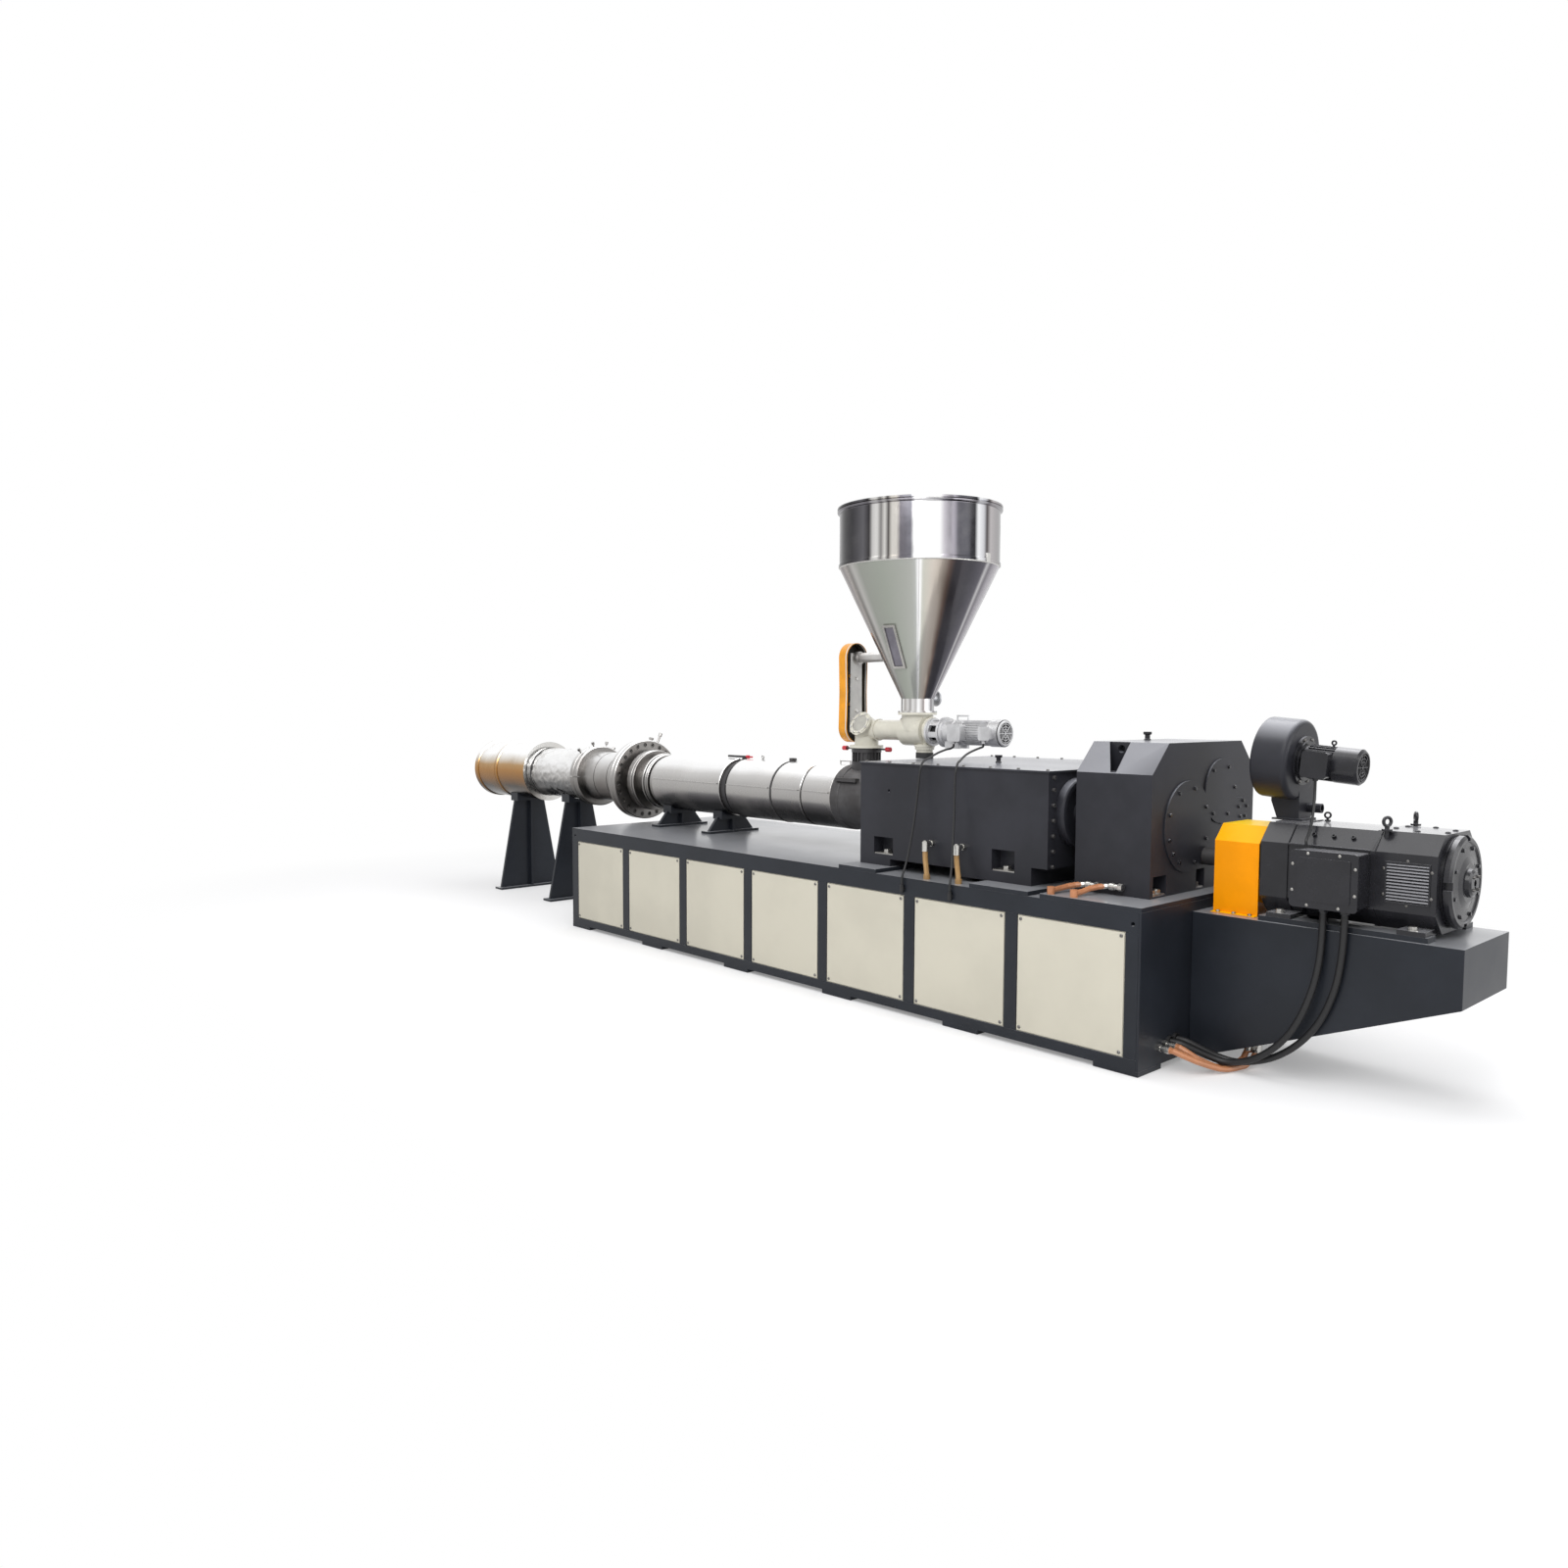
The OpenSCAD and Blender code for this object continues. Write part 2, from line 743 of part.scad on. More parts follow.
// Plan of a lifting pocket as [distance from the housing's left end, distance from its side], and its bore
lift_plan = [[186, -1], [212, -1], [201, 150], [85, 150]];
lift_bore_r = 19;
lift_bore_x = 151;
lift_bore_z = 108;
module gearbox_housing() {
    y = gearbox_w / 2;
    lift_z = pad_z + gearbox_h - gearbox_chamfer + 3;
    color(box_grey)
        difference() {
            drawn_x(house(y, gearbox_h, gearbox_chamfer), gearbox_x0, gearbox_x1, pad_z);
            for (p = foot_pockets)
                block([gearbox_x1 - pocket_depth, p[0] - p[1] / 2, pad_z + pocket_z],
                      [gearbox_x1 + 1, p[0] + p[1] / 2, pad_z + pocket_z + pocket_h]);
            both_sides() {
                translate([gearbox_x0, -y, lift_z])
                    linear_extrude(gearbox_chamfer)
                        polygon(lift_plan);
                along_y(lift_bore_r, -y + lift_plan[2][1] - 1, -y + lift_plan[2][1] + 40,
                    gearbox_x0 + lift_bore_x, lift_z + lift_bore_z);
            }
        }
}

// Bearing covers on the drive side: one plate with three lobes
cover_plate_t = 9;
lobes = [[-175, 11, 220], [145, 167, 160], [372, 64, 62]];
cap_y = 360;
cap_z = 56;
cap_r = 172;
cap_l = 46;
module bearing_covers() {
    color(box_grey) {
        for (c = lobes)
            along_x(c[2], gearbox_x1, gearbox_x1 + cover_plate_t, c[0], axis_h + c[1]);
        block([gearbox_x1, lobes[1][0], axis_h + lobes[2][1] - lobes[2][2]],
              [gearbox_x1 + cover_plate_t, lobes[2][0], axis_h + lobes[2][1] + lobes[2][2]]);
        for (y = [-cap_y, cap_y])
            turned_at([[0, 0], [0, cap_r], [-cap_l + 8, cap_r], [-cap_l, cap_r - 8], [-cap_l, cap_r - 30],
                [-cap_l + 14, cap_r - 34], [-cap_l + 14, 60], [-cap_l + 6, 54], [-cap_l + 6, 0]],
                dist_x1, y, axis_h + cap_z);
    }
}

// Breather with a flat cap on a stout neck
module breather(z) {
    translate([0, 0, z])
        rotate_extrude()
            polygon([[0, 0], [17, 0], [17, 6], [13, 9], [13, 27], [20, 30], [21, 33], [21, 42], [19, 44], [0, 44]]);
}

breather_inset = 83;
dist_breather_x = 674;
module box_breathers() {
    color(motor_black) {
        translate([gearbox_x0 + breather_inset, 0, 0])
            breather(pad_z + gearbox_h);
        translate([dist_x1 - dist_breather_x, -100, 0])
            breather(dist_top + dist_cover_t);
    }
}

recess_x0 = 230;
recess_l = 488;
recess_h = 40;
overhang_l = 94;
overhang_h = 93;
// Bolt pockets in both long sides, as [distance from the left end, width, lower edge, height]
side_pockets = [[107, 143, 63, 97], [930, 143, 55, 110]];
side_pocket_depth = 75;
module distribution_box() {
    y = dist_w / 2;
    color(box_grey)
        difference() {
            block([dist_x0, -y, pad_z], [dist_x1, y, dist_top]);
            block([dist_x0 + recess_x0, -y - 1, pad_z - 1],
                  [dist_x0 + recess_x0 + recess_l, y + 1, pad_z + recess_h]);
            block([dist_x1 - overhang_l, -y - 1, pad_z - 1], [dist_x1 + 1, y + 1, pad_z + overhang_h]);
            both_sides() {
                for (p = side_pockets)
                    block([dist_x0 + p[0], -y - 1, pad_z + p[2]],
                          [dist_x0 + p[0] + p[1], -y + side_pocket_depth, pad_z + p[2] + p[3]]);
                along_y(9, -y - 1, -y + 25, dist_x0 + 216, dist_top - 144);
            }
        }
}

module distribution_cover() {
    lip = 8;
    color(box_grey)
        block([dist_x0 - lip, -dist_w / 2 - lip, dist_top],
              [dist_x1 + lip, dist_w / 2 + lip, dist_top + dist_cover_t]);
}

// Cooled feed section, with a clamp bar along each side
bar_l = 180;
bar_z = 122;
bar_h = 22;
barrel_seat_l = 60;
feed_rim_l = 60;
feed_step = 5;
module feed_section() {
    bar_y = sqrt(feed_r * feed_r - bar_z * bar_z);
    color(dark_steel)
        difference() {
            union() {
                turned([[0, 0], [0, feed_r], [feed_rim_l, feed_r], [feed_rim_l + feed_step, feed_r - feed_step],
                    [feed_l - feed_rim_l - feed_step, feed_r - feed_step], [feed_l - feed_rim_l, feed_r],
                    [feed_l, feed_r], [feed_l, 0]], dist_x0);
                both_sides()
                    block([feed_x0 + 30, -bar_y - 24, axis_h + bar_z - bar_h / 2],
                          [feed_x0 + 30 + bar_l, -bar_y + 20, axis_h + bar_z + bar_h / 2]);
            }
            along_x(barrel_r, feed_x0 - 1, feed_x0 + barrel_seat_l);
        }
}

module barrel() {
    color(steel)
        along_x(barrel_r - seat, cover_4_x0, feed_x0 + barrel_seat_l);
}

// Sheet can around the barrel, closed at both ends, whose halves meet in a flange on each side
split_z = 32;
split_h = 6;
split_out = 9;
module heater_cover(x1, l) {
    turned([
        [0, barrel_r + seat], [0, cover_r - 4], [4, cover_r], [l - 4, cover_r], [l, cover_r - 4],
        [l, barrel_r + seat], [l - cover_t, barrel_r + seat], [l - cover_t, cover_r - cover_t],
        [cover_t, cover_r - cover_t], [cover_t, barrel_r + seat]
    ], x1);
    both_sides()
        block([x1 - l + 12, -cover_r - split_out, axis_h + split_z],
              [x1 - 12, -cover_r + cover_t + 2, axis_h + split_z + split_h]);
}

// Bar handle and eye that stand on the top of a cover
handle_l = 97;
handle_h = 25;
module cover_handle(x) {
    z = axis_h + cover_r;
    for (end = [x, x + handle_l - 8])
        upright(4, z - 3, z + handle_h, end + 4);
    along_x(4, x, x + handle_l, z = z + handle_h - 4);
}

module heater_covers() {
    color(silver) {
        heater_cover(feed_x0, cover_1_l);
        heater_cover(band_1_x, cover_2_l);
        heater_cover(band_2_x, cover_3_l);
        heater_cover(vent_x0, cover_4_l);
        cover_handle(feed_x0 - handle_l - 16);
        translate([band_2_x - cover_3_l * 0.65, 0, axis_h + cover_r - 2])
            eye_bolt(14, 8);
    }
}

// The first band lies in the gap between two covers, the second clamps over both and carries a plug
gap_depth = 14;
plug_w = 34;
plug_h = 22;
module cover_bands() {
    z = axis_h + cover_r;
    mid = band_2_x + band_w / 2;
    color(dark_steel) {
        tube_x(cover_r - gap_depth, barrel_r + seat, band_1_x, band_1_x + band_w);
        tube_x(cover_r + 3, barrel_r + seat, band_2_x, band_2_x + band_w);
        block([mid - plug_w / 2, -plug_w / 2, z + 0.5], [mid + plug_w / 2, plug_w / 2, z + plug_h]);
        along_x(8, mid + plug_w / 2 - 1, mid + plug_w / 2 + 16, z = z + plug_h / 2 + 2);
    }
}

// Open stretch of the barrel with a valve on a short pipe above it
vent_step = 18;
valve_rise = 222;
valve_l = 200;
valve_r = 8;
valve_knob_r = 12;
module vacuum_vent() {
    mid = vent_x0 + vent_l / 2;
    z = axis_h + valve_rise;
    color(dark_steel) {
        tube_x(cover_r - vent_step, barrel_r + seat, vent_x0, vent_x0 + vent_l);
        tube_x(cover_r - vent_step + 6, barrel_r + seat, vent_x0 + 24, vent_x0 + vent_l - 24);
        upright(17, axis_h + cover_r - vent_step - 8, z, mid);
        along_x(valve_r, mid + 23 - valve_l, mid + 26, z = z);
        along_x(valve_knob_r, mid + 25, mid + 50, z = z);
        along_x(valve_r - 2, mid + 49, mid + 86, z = z);
    }
}

// Welded stand with a saddle: foot plate, tapered web, rib and a cradle that follows the radius r
web_t = 24;
stand_foot_t = 16;
module cradle_stand(x, r, z0, foot_half, saddle_half, l) {
    top = axis_h - r;
    arm_top = axis_h - sqrt(r * r - saddle_half * saddle_half) + 6;
    difference() {
        union() {
            block([x - l / 2, -foot_half, z0], [x + l / 2, foot_half, z0 + stand_foot_t]);
            drawn_x([[-foot_half + 24, z0 + stand_foot_t - 1], [-saddle_half + 6, top + 4],
                [saddle_half - 6, top + 4], [foot_half - 24, z0 + stand_foot_t - 1]], x - web_t / 2, x + web_t / 2);
            block([x - l / 2 + 10, -web_t / 2, z0], [x + l / 2 - 10, web_t / 2, top]);
            block([x - l / 2, -saddle_half, max(z0, top - 24)], [x + l / 2, saddle_half, arm_top]);
        }
        along_x(r + seat, x - l, x + l);
    }
}

module barrel_supports() {
    color(frame_grey)
        for (x = [vent_x0 - 120, cover_4_x0 + 80])
            cradle_stand(x, cover_r, deck_z, 230, 120, 100);
}

// Rings of the adapter, as [distance from the barrel, length, radius]
adapter_rings = [[0, 44, 196], [58, 16, 208], [82, 16, 208], [106, 16, 214], [206, 22, 235], [236, 54, 235]];
adapter_core_r = 168;
module barrel_adapter() {
    color(steel) {
        along_x(adapter_core_r, head_x1, cover_4_x0);
        for (ring = adapter_rings)
            turned([[0, 0], [0, ring[2] - 3], [3, ring[2]], [ring[1] - 3, ring[2]], [ring[1], ring[2] - 3],
                [ring[1], 0]], cover_4_x0 - ring[0]);
    }
}

// Main flange of the head: a ring of bolts set in round pockets, and the tools of its clamp on the rim
flange_bolts = 24;
bolt_circle_r = 275;
pocket_r = 17;
pocket_deep = 26;
first_bolt = 4;
rod_r = 9;
module head_flange() {
    color(steel) {
        difference() {
            turned([[0, 0], [0, head_flange_r - 6], [6, head_flange_r],
                [head_flange_l * 0.42, head_flange_r], [head_flange_l * 0.42 + 4, head_flange_r - 5],
                [head_flange_l * 0.42 + 10, head_flange_r - 5], [head_flange_l * 0.42 + 14, head_flange_r],
                [head_flange_l - 6, head_flange_r], [head_flange_l, head_flange_r - 6], [head_flange_l, 0]], head_x1);
            for (i = [0:flange_bolts - 1])
                translate([head_x1 - pocket_deep, 0, axis_h])
                    rotate([first_bolt + i * 360 / flange_bolts, 0, 0])
                        translate([0, 0, bolt_circle_r])
                            rotate([0, 90, 0])
                                cylinder(r = pocket_r, h = pocket_deep + 1);
        }
        // Clamp bolt and lever on the upper rim
        translate([head_x1 - head_flange_l / 2, 0, axis_h]) {
            rotate([-13, 0, 0]) {
                cylinder(r = 12, h = head_flange_r + 16);
                translate([0, 0, head_flange_r + 10])
                    cylinder(r = 19, h = 16, $fn = 6);
            }
            rotate([-25, 0, 0])
                cylinder(r = rod_r, h = head_flange_r + 66);
            rotate([-25, 0, 0])
                translate([0, 0, head_flange_r + 62])
                    cylinder(r = 14, h = 26);
        }
    }
}

// First part of the head, with two grooves between its heater zones
groove_w = 8;
groove_d = 5;
module head_body() {
    third = head_body_l / 3;
    color(silver)
        turned([[0, 0], [0, head_body_r], [third, head_body_r], [third, head_body_r - groove_d],
            [third + groove_w, head_body_r - groove_d], [third + groove_w, head_body_r],
            [2 * third, head_body_r], [2 * third, head_body_r - groove_d],
            [2 * third + groove_w, head_body_r - groove_d], [2 * third + groove_w, head_body_r],
            [head_body_l, head_body_r], [head_body_l, 0]], body_x1);
}

// Clamp ring in two halves, with bolts on its lugs and a handle on each half
clamp_gap = 10;
handle_reach = 40;
module head_clamp_ring() {
    mid = clamp_x1 - clamp_l / 2;
    color(steel) {
        difference() {
            turned([[0, 0], [0, clamp_r - 10], [10, clamp_r], [clamp_l / 2 - 8, clamp_r],
                [clamp_l / 2 - 4, clamp_r - 6],
                [clamp_l / 2 + 4, clamp_r - 6], [clamp_l / 2 + 8, clamp_r], [clamp_l - 10, clamp_r],
                [clamp_l, clamp_r - 10], [clamp_l, 0]], clamp_x1);
            both_sides()
                block([wrap_x1 - 1, -clamp_r - 1, axis_h - clamp_gap / 2],
                      [clamp_x1 + 1, -wrap_r - 6, axis_h + clamp_gap / 2]);
        }
        for (turn = [-38, -14, 14, 38])
            translate([mid, 0, axis_h])
                rotate([turn, 0, 0])
                    translate([abs(turn) > 20 ? -26 : 26, 0, 0]) {
                        cylinder(r = 7, h = clamp_r + handle_reach - 12);
                        translate([0, 0, clamp_r + handle_reach - 22])
                            cylinder(r = 13, h = 22);
                    }
    }
}

module head_wraps() {
    color(silver)
        along_x(wrap_r, die_x1, wrap_x1);
}

// Die barrel with a rim at both ends and a joint between its two rings
die_bore_l = 300;
die_rim_l = 50;
die_waist = 8;
module die_barrel() {
    joint = die_l * 0.55;
    color(steel)
        difference() {
            turned([[0, 0], [0, die_r], [die_rim_l, die_r], [die_rim_l + 6, die_r - die_waist],
                [joint - 6, die_r - die_waist], [joint, die_r], [joint + 24, die_r], [joint + 26, die_r - 5],
                [joint + 30, die_r - 5], [joint + 32, die_r], [joint + 56, die_r], [joint + 62, die_r - die_waist],
                [die_l - die_rim_l - 6, die_r - die_waist], [die_l - die_rim_l, die_r], [die_l, die_r], [die_l, 0]],
                die_x1);
            along_x(die_bore_r, die_x0 - 1, die_x0 + die_bore_l);
        }
}

module die_core() {
    color(steel)
        along_x(core_r, die_x0, die_x0 + die_bore_l);
}

stand_inset = 260;
module head_stand() {
    color(frame_grey) {
        cradle_stand(wrap_x1 - stand_inset, wrap_r, 0, 320, 130, 120);
        cradle_stand(die_x1 - stand_inset * 1.4, die_r - die_waist, 0, 320, 150, 120);
    }
}

// Cooled throat between the feed section and the feeder, with a slide gate under its top flange
throat_ribs = 20;
gate_half = 206;
gate_t = 12;
gate_knob_r = 15;
gate_knob_l = 34;
throat_flange_t = 16;
module throat_block() {
    top = feeder_h - throat_rise;
    core_r = throat_r - 12;
    color(dark_steel) {
        difference() {
            union() {
                upright(core_r, axis_h, top, throat_cx);
                upright(throat_r, top - throat_flange_t - gate_t, top, throat_cx);
                upright(throat_r, axis_h, axis_h + feed_r + 24, throat_cx);
                for (i = [0:throat_ribs - 1])
                    translate([throat_cx, 0, axis_h])
                        rotate([0, 0, (i + 0.5) * 360 / throat_ribs])
                            block([core_r - 10, -3, 0], [throat_r - 3, 3, top - axis_h - throat_flange_t]);
            }
            along_x(feed_r - feed_step, feed_x0 - 1, dist_x0 + 1);
            along_x(feed_r, feed_x0 - 1, feed_x0 + feed_rim_l + feed_step + 1);
        }
        along_x(gate_t / 2, throat_cx - gate_half, throat_cx + gate_half, z = top - 6);
    }
    color(knob_red)
        for (x = [throat_cx - gate_half, throat_cx + gate_half - gate_knob_l])
            along_x(gate_knob_r, x, x + gate_knob_l, z = top - 6);
}

gearmotor_x0 = hopper_cx + neck_r + 23;
chain_plate_x = throat_cx - 100;
port_tilt = 63;
port_x = throat_cx + 15;
port_face = 76;
port_ring_r = 80;
tee_flange_r = 118;
tee_flange_t = 14;
leg_x = hopper_cx + 60;
leg_r = 49;
leg_collar_z = 98;
module feeder_tube() {
    color(feeder_cream)
        difference() {
            union() {
                along_x(feeder_r, throat_cx, gearmotor_x0, z = feeder_h);
                along_x(40, chain_plate_x + 6, throat_cx, z = feeder_h);
                translate([port_x, 0, feeder_h])
                    rotate([port_tilt, 0, 0])
                        cylinder(r = port_ring_r - 6, h = port_face);
                upright(107, feeder_h - throat_rise, feeder_h - throat_rise + 18, throat_cx);
                upright(port_ring_r - 4, feeder_h - throat_rise + 17, feeder_h + 10, throat_cx);
                along_x(feeder_r + 6, throat_cx + 100, throat_cx + 114, z = feeder_h);
                upright(neck_r - 4, feeder_h, feeder_h + tee_rise, hopper_cx);
                upright(tee_flange_r, feeder_h + tee_rise - tee_flange_t, feeder_h + tee_rise, hopper_cx);
                along_x(neck_r - 8, hopper_cx - neck_r + 14, hopper_cx + neck_r - 14, z = feeder_h);
                turned([[0, 0], [0, 84], [14, 84], [20, 76], [34, feeder_r + 4], [50, feeder_r], [50, 0]],
                    gearmotor_x0, feeder_h);
            }
            upright(leg_r + seat, dist_top, feeder_h - feeder_r * 0.7, leg_x);
        }
}

// Round window on the slanted face of the feeder
module feeder_sight_port() {
    color(feeder_cream)
        translate([port_x, 0, feeder_h])
            rotate([port_tilt, 0, 0])
                translate([0, 0, port_face])
                    difference() {
                        union() {
                            cylinder(r = port_ring_r, h = 12);
                            cylinder(r = port_ring_r - 12, h = 17);
                        }
                        translate([0, 0, 7])
                            cylinder(r = port_ring_r - 24, h = 11);
                    }
}

// Leg under the feeder, with a collar and a rubber foot on the distribution box
module feeder_leg() {
    foot_z = dist_top + dist_cover_t;
    collar = feeder_h - leg_collar_z;
    color(feeder_cream) {
        upright(leg_r, foot_z + 20, feeder_h - feeder_r * 0.7, leg_x);
        upright(leg_r + 14, collar, collar + 14, leg_x);
        upright(leg_r + 9, collar - 16, collar + 1, leg_x);
        upright(leg_r + 4, foot_z, foot_z + 36, leg_x);
    }
}

// Geared motor of the feed screw: open lantern, flange, gear unit, finned motor and cowl
lantern_l = 95;
lantern_r = 72;
unit_x = 128;
fins_x = 262;
cowl_start = 452;
gearmotor_l = 540;
gearmotor_drop = 6;
gearmotor_r = 74;
window_count = 6;
// Terminal boxes on the front of the geared motor, as [x from its start, length, half height]
gear_boxes = [[205, 95, 50], [430, 80, 39]];
module feeder_gearmotor() {
    x = gearmotor_x0;
    z = feeder_h - gearmotor_drop;
    color(silver) {
        difference() {
            union() {
                along_x(84, x, x + 14, z = z);
                along_x(lantern_r, x, x + lantern_l, z = z);
                along_x(90, x + lantern_l, x + lantern_l + 12, z = z);
                along_x(84, x + lantern_l + 14, x + unit_x, z = z);
                along_x(78, x + lantern_l, x + unit_x, z = z);
            }
            for (i = [0:window_count - 1])
                translate([x + 24, 0, z])
                    rotate([i * 360 / window_count + 12, 0, 0])
                        block([0, -20, 40], [lantern_l - 36, 20, lantern_r + 4]);
        }
        translate([x, 0, z]) {
            rotate([0, 90, 0])
                rotate_extrude()
                    polygon([[0, unit_x - 1], [gearmotor_r, unit_x - 1], [gearmotor_r, unit_x + 60],
                        [gearmotor_r - 4, unit_x + 64], [gearmotor_r - 4, unit_x + 72], [gearmotor_r, unit_x + 76],
                        [gearmotor_r, fins_x], [gearmotor_r - 10, fins_x + 4], [gearmotor_r - 10, cowl_start + 1],
                        [0, cowl_start + 1]]);
            motor_fins(gearmotor_r - 1, fins_x, cowl_start + 1, 32);
            rotate([0, 90, 0])
                motor_cowl(gearmotor_r + 4, cowl_start, gearmotor_l);
        }
        for (b = gear_boxes) {
            round_box([x + b[0] + 3, -102, z - b[2] + 3], [x + b[0] + b[1] - 3, -50, z + b[2] - 3], 10);
            round_box([x + b[0], -116, z - b[2]], [x + b[0] + b[1], -100, z + b[2]], 12);
            upright(8, z - b[2] - 10, z - b[2] + 10, x + b[0] + b[1] / 2, -82);
        }
        // Lifting handle, and the feet of the gear unit
        for (end = [x + 190, x + 268])
            upright(5, z + gearmotor_r - 12, z + gearmotor_r + 26, end);
        along_x(5, x + 186, x + 272, z = z + gearmotor_r + 24);
        for (y = [-52, 28])
            block([x + unit_x + 10, y, z - gearmotor_r - 20], [x + unit_x + 110, y + 24, z - gearmotor_r + 30]);
        for (p = [[feeder_route_1[0], -64], [feeder_route_2[0], -58]])
            upright(10, z + p[1], z + p[1] + 30, p[0][0], p[0][1]);
    }
}

// Case of the agitator chain: a trough with round ends, open towards the hopper, and its bearing plate
guard_open_x = throat_cx - 87;
case_l = 72;
case_r = 95;
case_t = 4;
case_low = 84;
case_high = 550;
plate_half = 54;
chain_plate_t = 6;
agitator_rise = 455;
module case_outline(r) {
    for (z = [-case_low + case_r, case_high - case_r])
        translate([0, z])
            circle(r);
    polygon([[-r, -case_low + case_r], [-r + 6, (case_high - case_low) / 2], [-r, case_high - case_r],
        [r, case_high - case_r], [r - 6, (case_high - case_low) / 2], [r, -case_low + case_r]]);
}

module chain_guard() {
    x0 = guard_open_x - case_l;
    color(guard_yellow) {
        translate([x0, 0, feeder_h])
            rotate([90, 0, 90])
                difference() {
                    linear_extrude(case_l)
                        case_outline(case_r);
                    translate([0, 0, case_t])
                        linear_extrude(case_l)
                            case_outline(case_r - case_t);
                }
        drawn_x([[-plate_half, -20], [-plate_half + 6, agitator_rise + 30], [plate_half - 6, agitator_rise + 30],
            [plate_half, -20]], chain_plate_x, chain_plate_x + chain_plate_t, feeder_h);
        for (z = [0.35, 0.75])
            along_x(11, x0 + case_t - 1, chain_plate_x + 1, 0, feeder_h + agitator_rise * z);
    }
}

agitator_r = 31;
agitator_h = feeder_h + agitator_rise;
module agitator_tube() {
    x = chain_plate_x + chain_plate_t;
    color(silver)
        difference() {
            union() {
                along_x(agitator_r + 9, x, x + 34, z = agitator_h);
                along_x(agitator_r, x, hopper_cx - neck_r, z = agitator_h);
            }
            cone_solid(seat);
        }
}

// Straight part of the hopper, with a rolled double bead on its rim and a skirt over the cone
skirt_h = 16;
module hopper_shell() {
    bead = rim_r * 2 / 5;
    color(silver)
        translate([hopper_cx, 0, 0])
            rotate_extrude($fn = 96)
                polygon([
                    [hopper_r - hopper_t, hopper_cyl_z], [hopper_r + 5, hopper_cyl_z],
                    [hopper_r + 5, hopper_cyl_z + skirt_h], [hopper_r, hopper_cyl_z + skirt_h + 4],
                    [hopper_r, hopper_top - 2 * rim_r - 4], [hopper_r + rim_r - 3, hopper_top - 2 * rim_r],
                    [hopper_r + rim_r, hopper_top - 2 * rim_r + 4], [hopper_r + rim_r, hopper_top - 3 * bead],
                    [hopper_r + rim_r - 6, hopper_top - 3 * bead + 3], [hopper_r + rim_r, hopper_top - 2 * bead],
                    [hopper_r + rim_r, hopper_top], [hopper_r - hopper_t, hopper_top]
                ]);
}

neck_flange_t = 9;
module hopper_cone() {
    z2 = feeder_h + tee_rise;
    color(silver)
        translate([hopper_cx, 0, 0])
            rotate_extrude($fn = 96)
                polygon([
                    [neck_r - hopper_t, z2], [tee_flange_r, z2], [tee_flange_r, z2 + neck_flange_t],
                    [neck_r, z2 + neck_flange_t], [neck_r, hopper_cone_z],
                    [hopper_r, hopper_cyl_z], [hopper_r - hopper_t, hopper_cyl_z],
                    [neck_r - hopper_t, hopper_cone_z]
                ]);
}

// Solid cone that lies the given distance outside the sheet of the hopper
module cone_solid(out) {
    translate([hopper_cx, 0, 0])
        rotate_extrude($fn = 96)
            polygon([
                [0, hopper_cone_z], [neck_r + out, hopper_cone_z], [hopper_r + out, hopper_cyl_z], [0, hopper_cyl_z]
            ]);
}

// Window strip on the front of the cone: a frame with round corners and the glass set back in it
glass_turn = 277;
glass_w = 90;
glass_z0 = 1880;
glass_h = 250;
glass_frame = 14;
module window_cut(grow, out) {
    intersection() {
        translate([hopper_cx, 0, 0])
            rotate([0, 0, glass_turn])
                translate([neck_r + 50, -glass_w / 2 - grow, glass_z0 - grow])
                    cube([hopper_r - neck_r, glass_w + 2 * grow, glass_h + 2 * grow]);
        cone_solid(out);
    }
}

module hopper_sight_glass() {
    color("lightgrey")
        difference() {
            union() {
                difference() {
                    window_cut(0, 14);
                    window_cut(-glass_frame, 15);
                }
                window_cut(-glass_frame + 1, 7);
            }
            cone_solid(seat);
        }
}

// Oil pipes: unions on both boxes and on the base, with coated pipes bent to the deck and to the motor base
pipe_r = 14;
nut_r = 18;
nut_l = 66;
box_pipe_x = [729, 515];
box_pipe_z = 160;
elbow_out = 62;
gear_pipes = [[134, 37], [261, 43]];
// Unions on the end plate as [y, z, x where the pipe meets the motor base]
base_pipes = [[-577, 107, 284], [-520, 112, 242]];
// Route of the first pipe, and how far each of its points moves with its far end
base_pipe_route = [
    [44, -577, 107], [82, -577, 107], [120, -560, 92], [158, -515, 66], [192, -455, 40], [218, -404, 22],
    [232, -366, pipe_r + 1], [248, -325, pipe_r + 1], [266, -268, pipe_r + 4], [277, -216, 38], [284, -182, 84]
];
base_pipe_shares = [0, 0, 0.16, 0.4, 0.6, 0.8, 0.9, 0.95, 0.97, 1, 1];
module pipe_nut(p, turn) {
    translate(p)
        rotate(turn) {
            cylinder(r = nut_r, h = 22, $fn = 6);
            cylinder(r = nut_r - 4, h = nut_l - 8);
            translate([0, 0, nut_l - 24])
                cylinder(r = nut_r, h = 24);
        }
}

// Elbow on the front of the distribution box, with its pipe down to the deck
module box_pipe(x) {
    y = -dist_w / 2;
    z = pad_z + box_pipe_z;
    pipe_nut([x, y, z], [90, 0, 0]);
    upright(nut_r, z - 40, z + nut_r - 6, x, y - elbow_out);
    upright(nut_r, deck_z, deck_z + 24, x + 36, y - elbow_out - 28);
    swept([[x, y - elbow_out, z - 30], [x, y - elbow_out, z - 60], [x + 6, y - elbow_out - 4, z - 92],
        [x + 24, y - elbow_out - 18, z - 128], [x + 36, y - elbow_out - 28, deck_z + 18]], pipe_r, [0, 1, 0]);
}

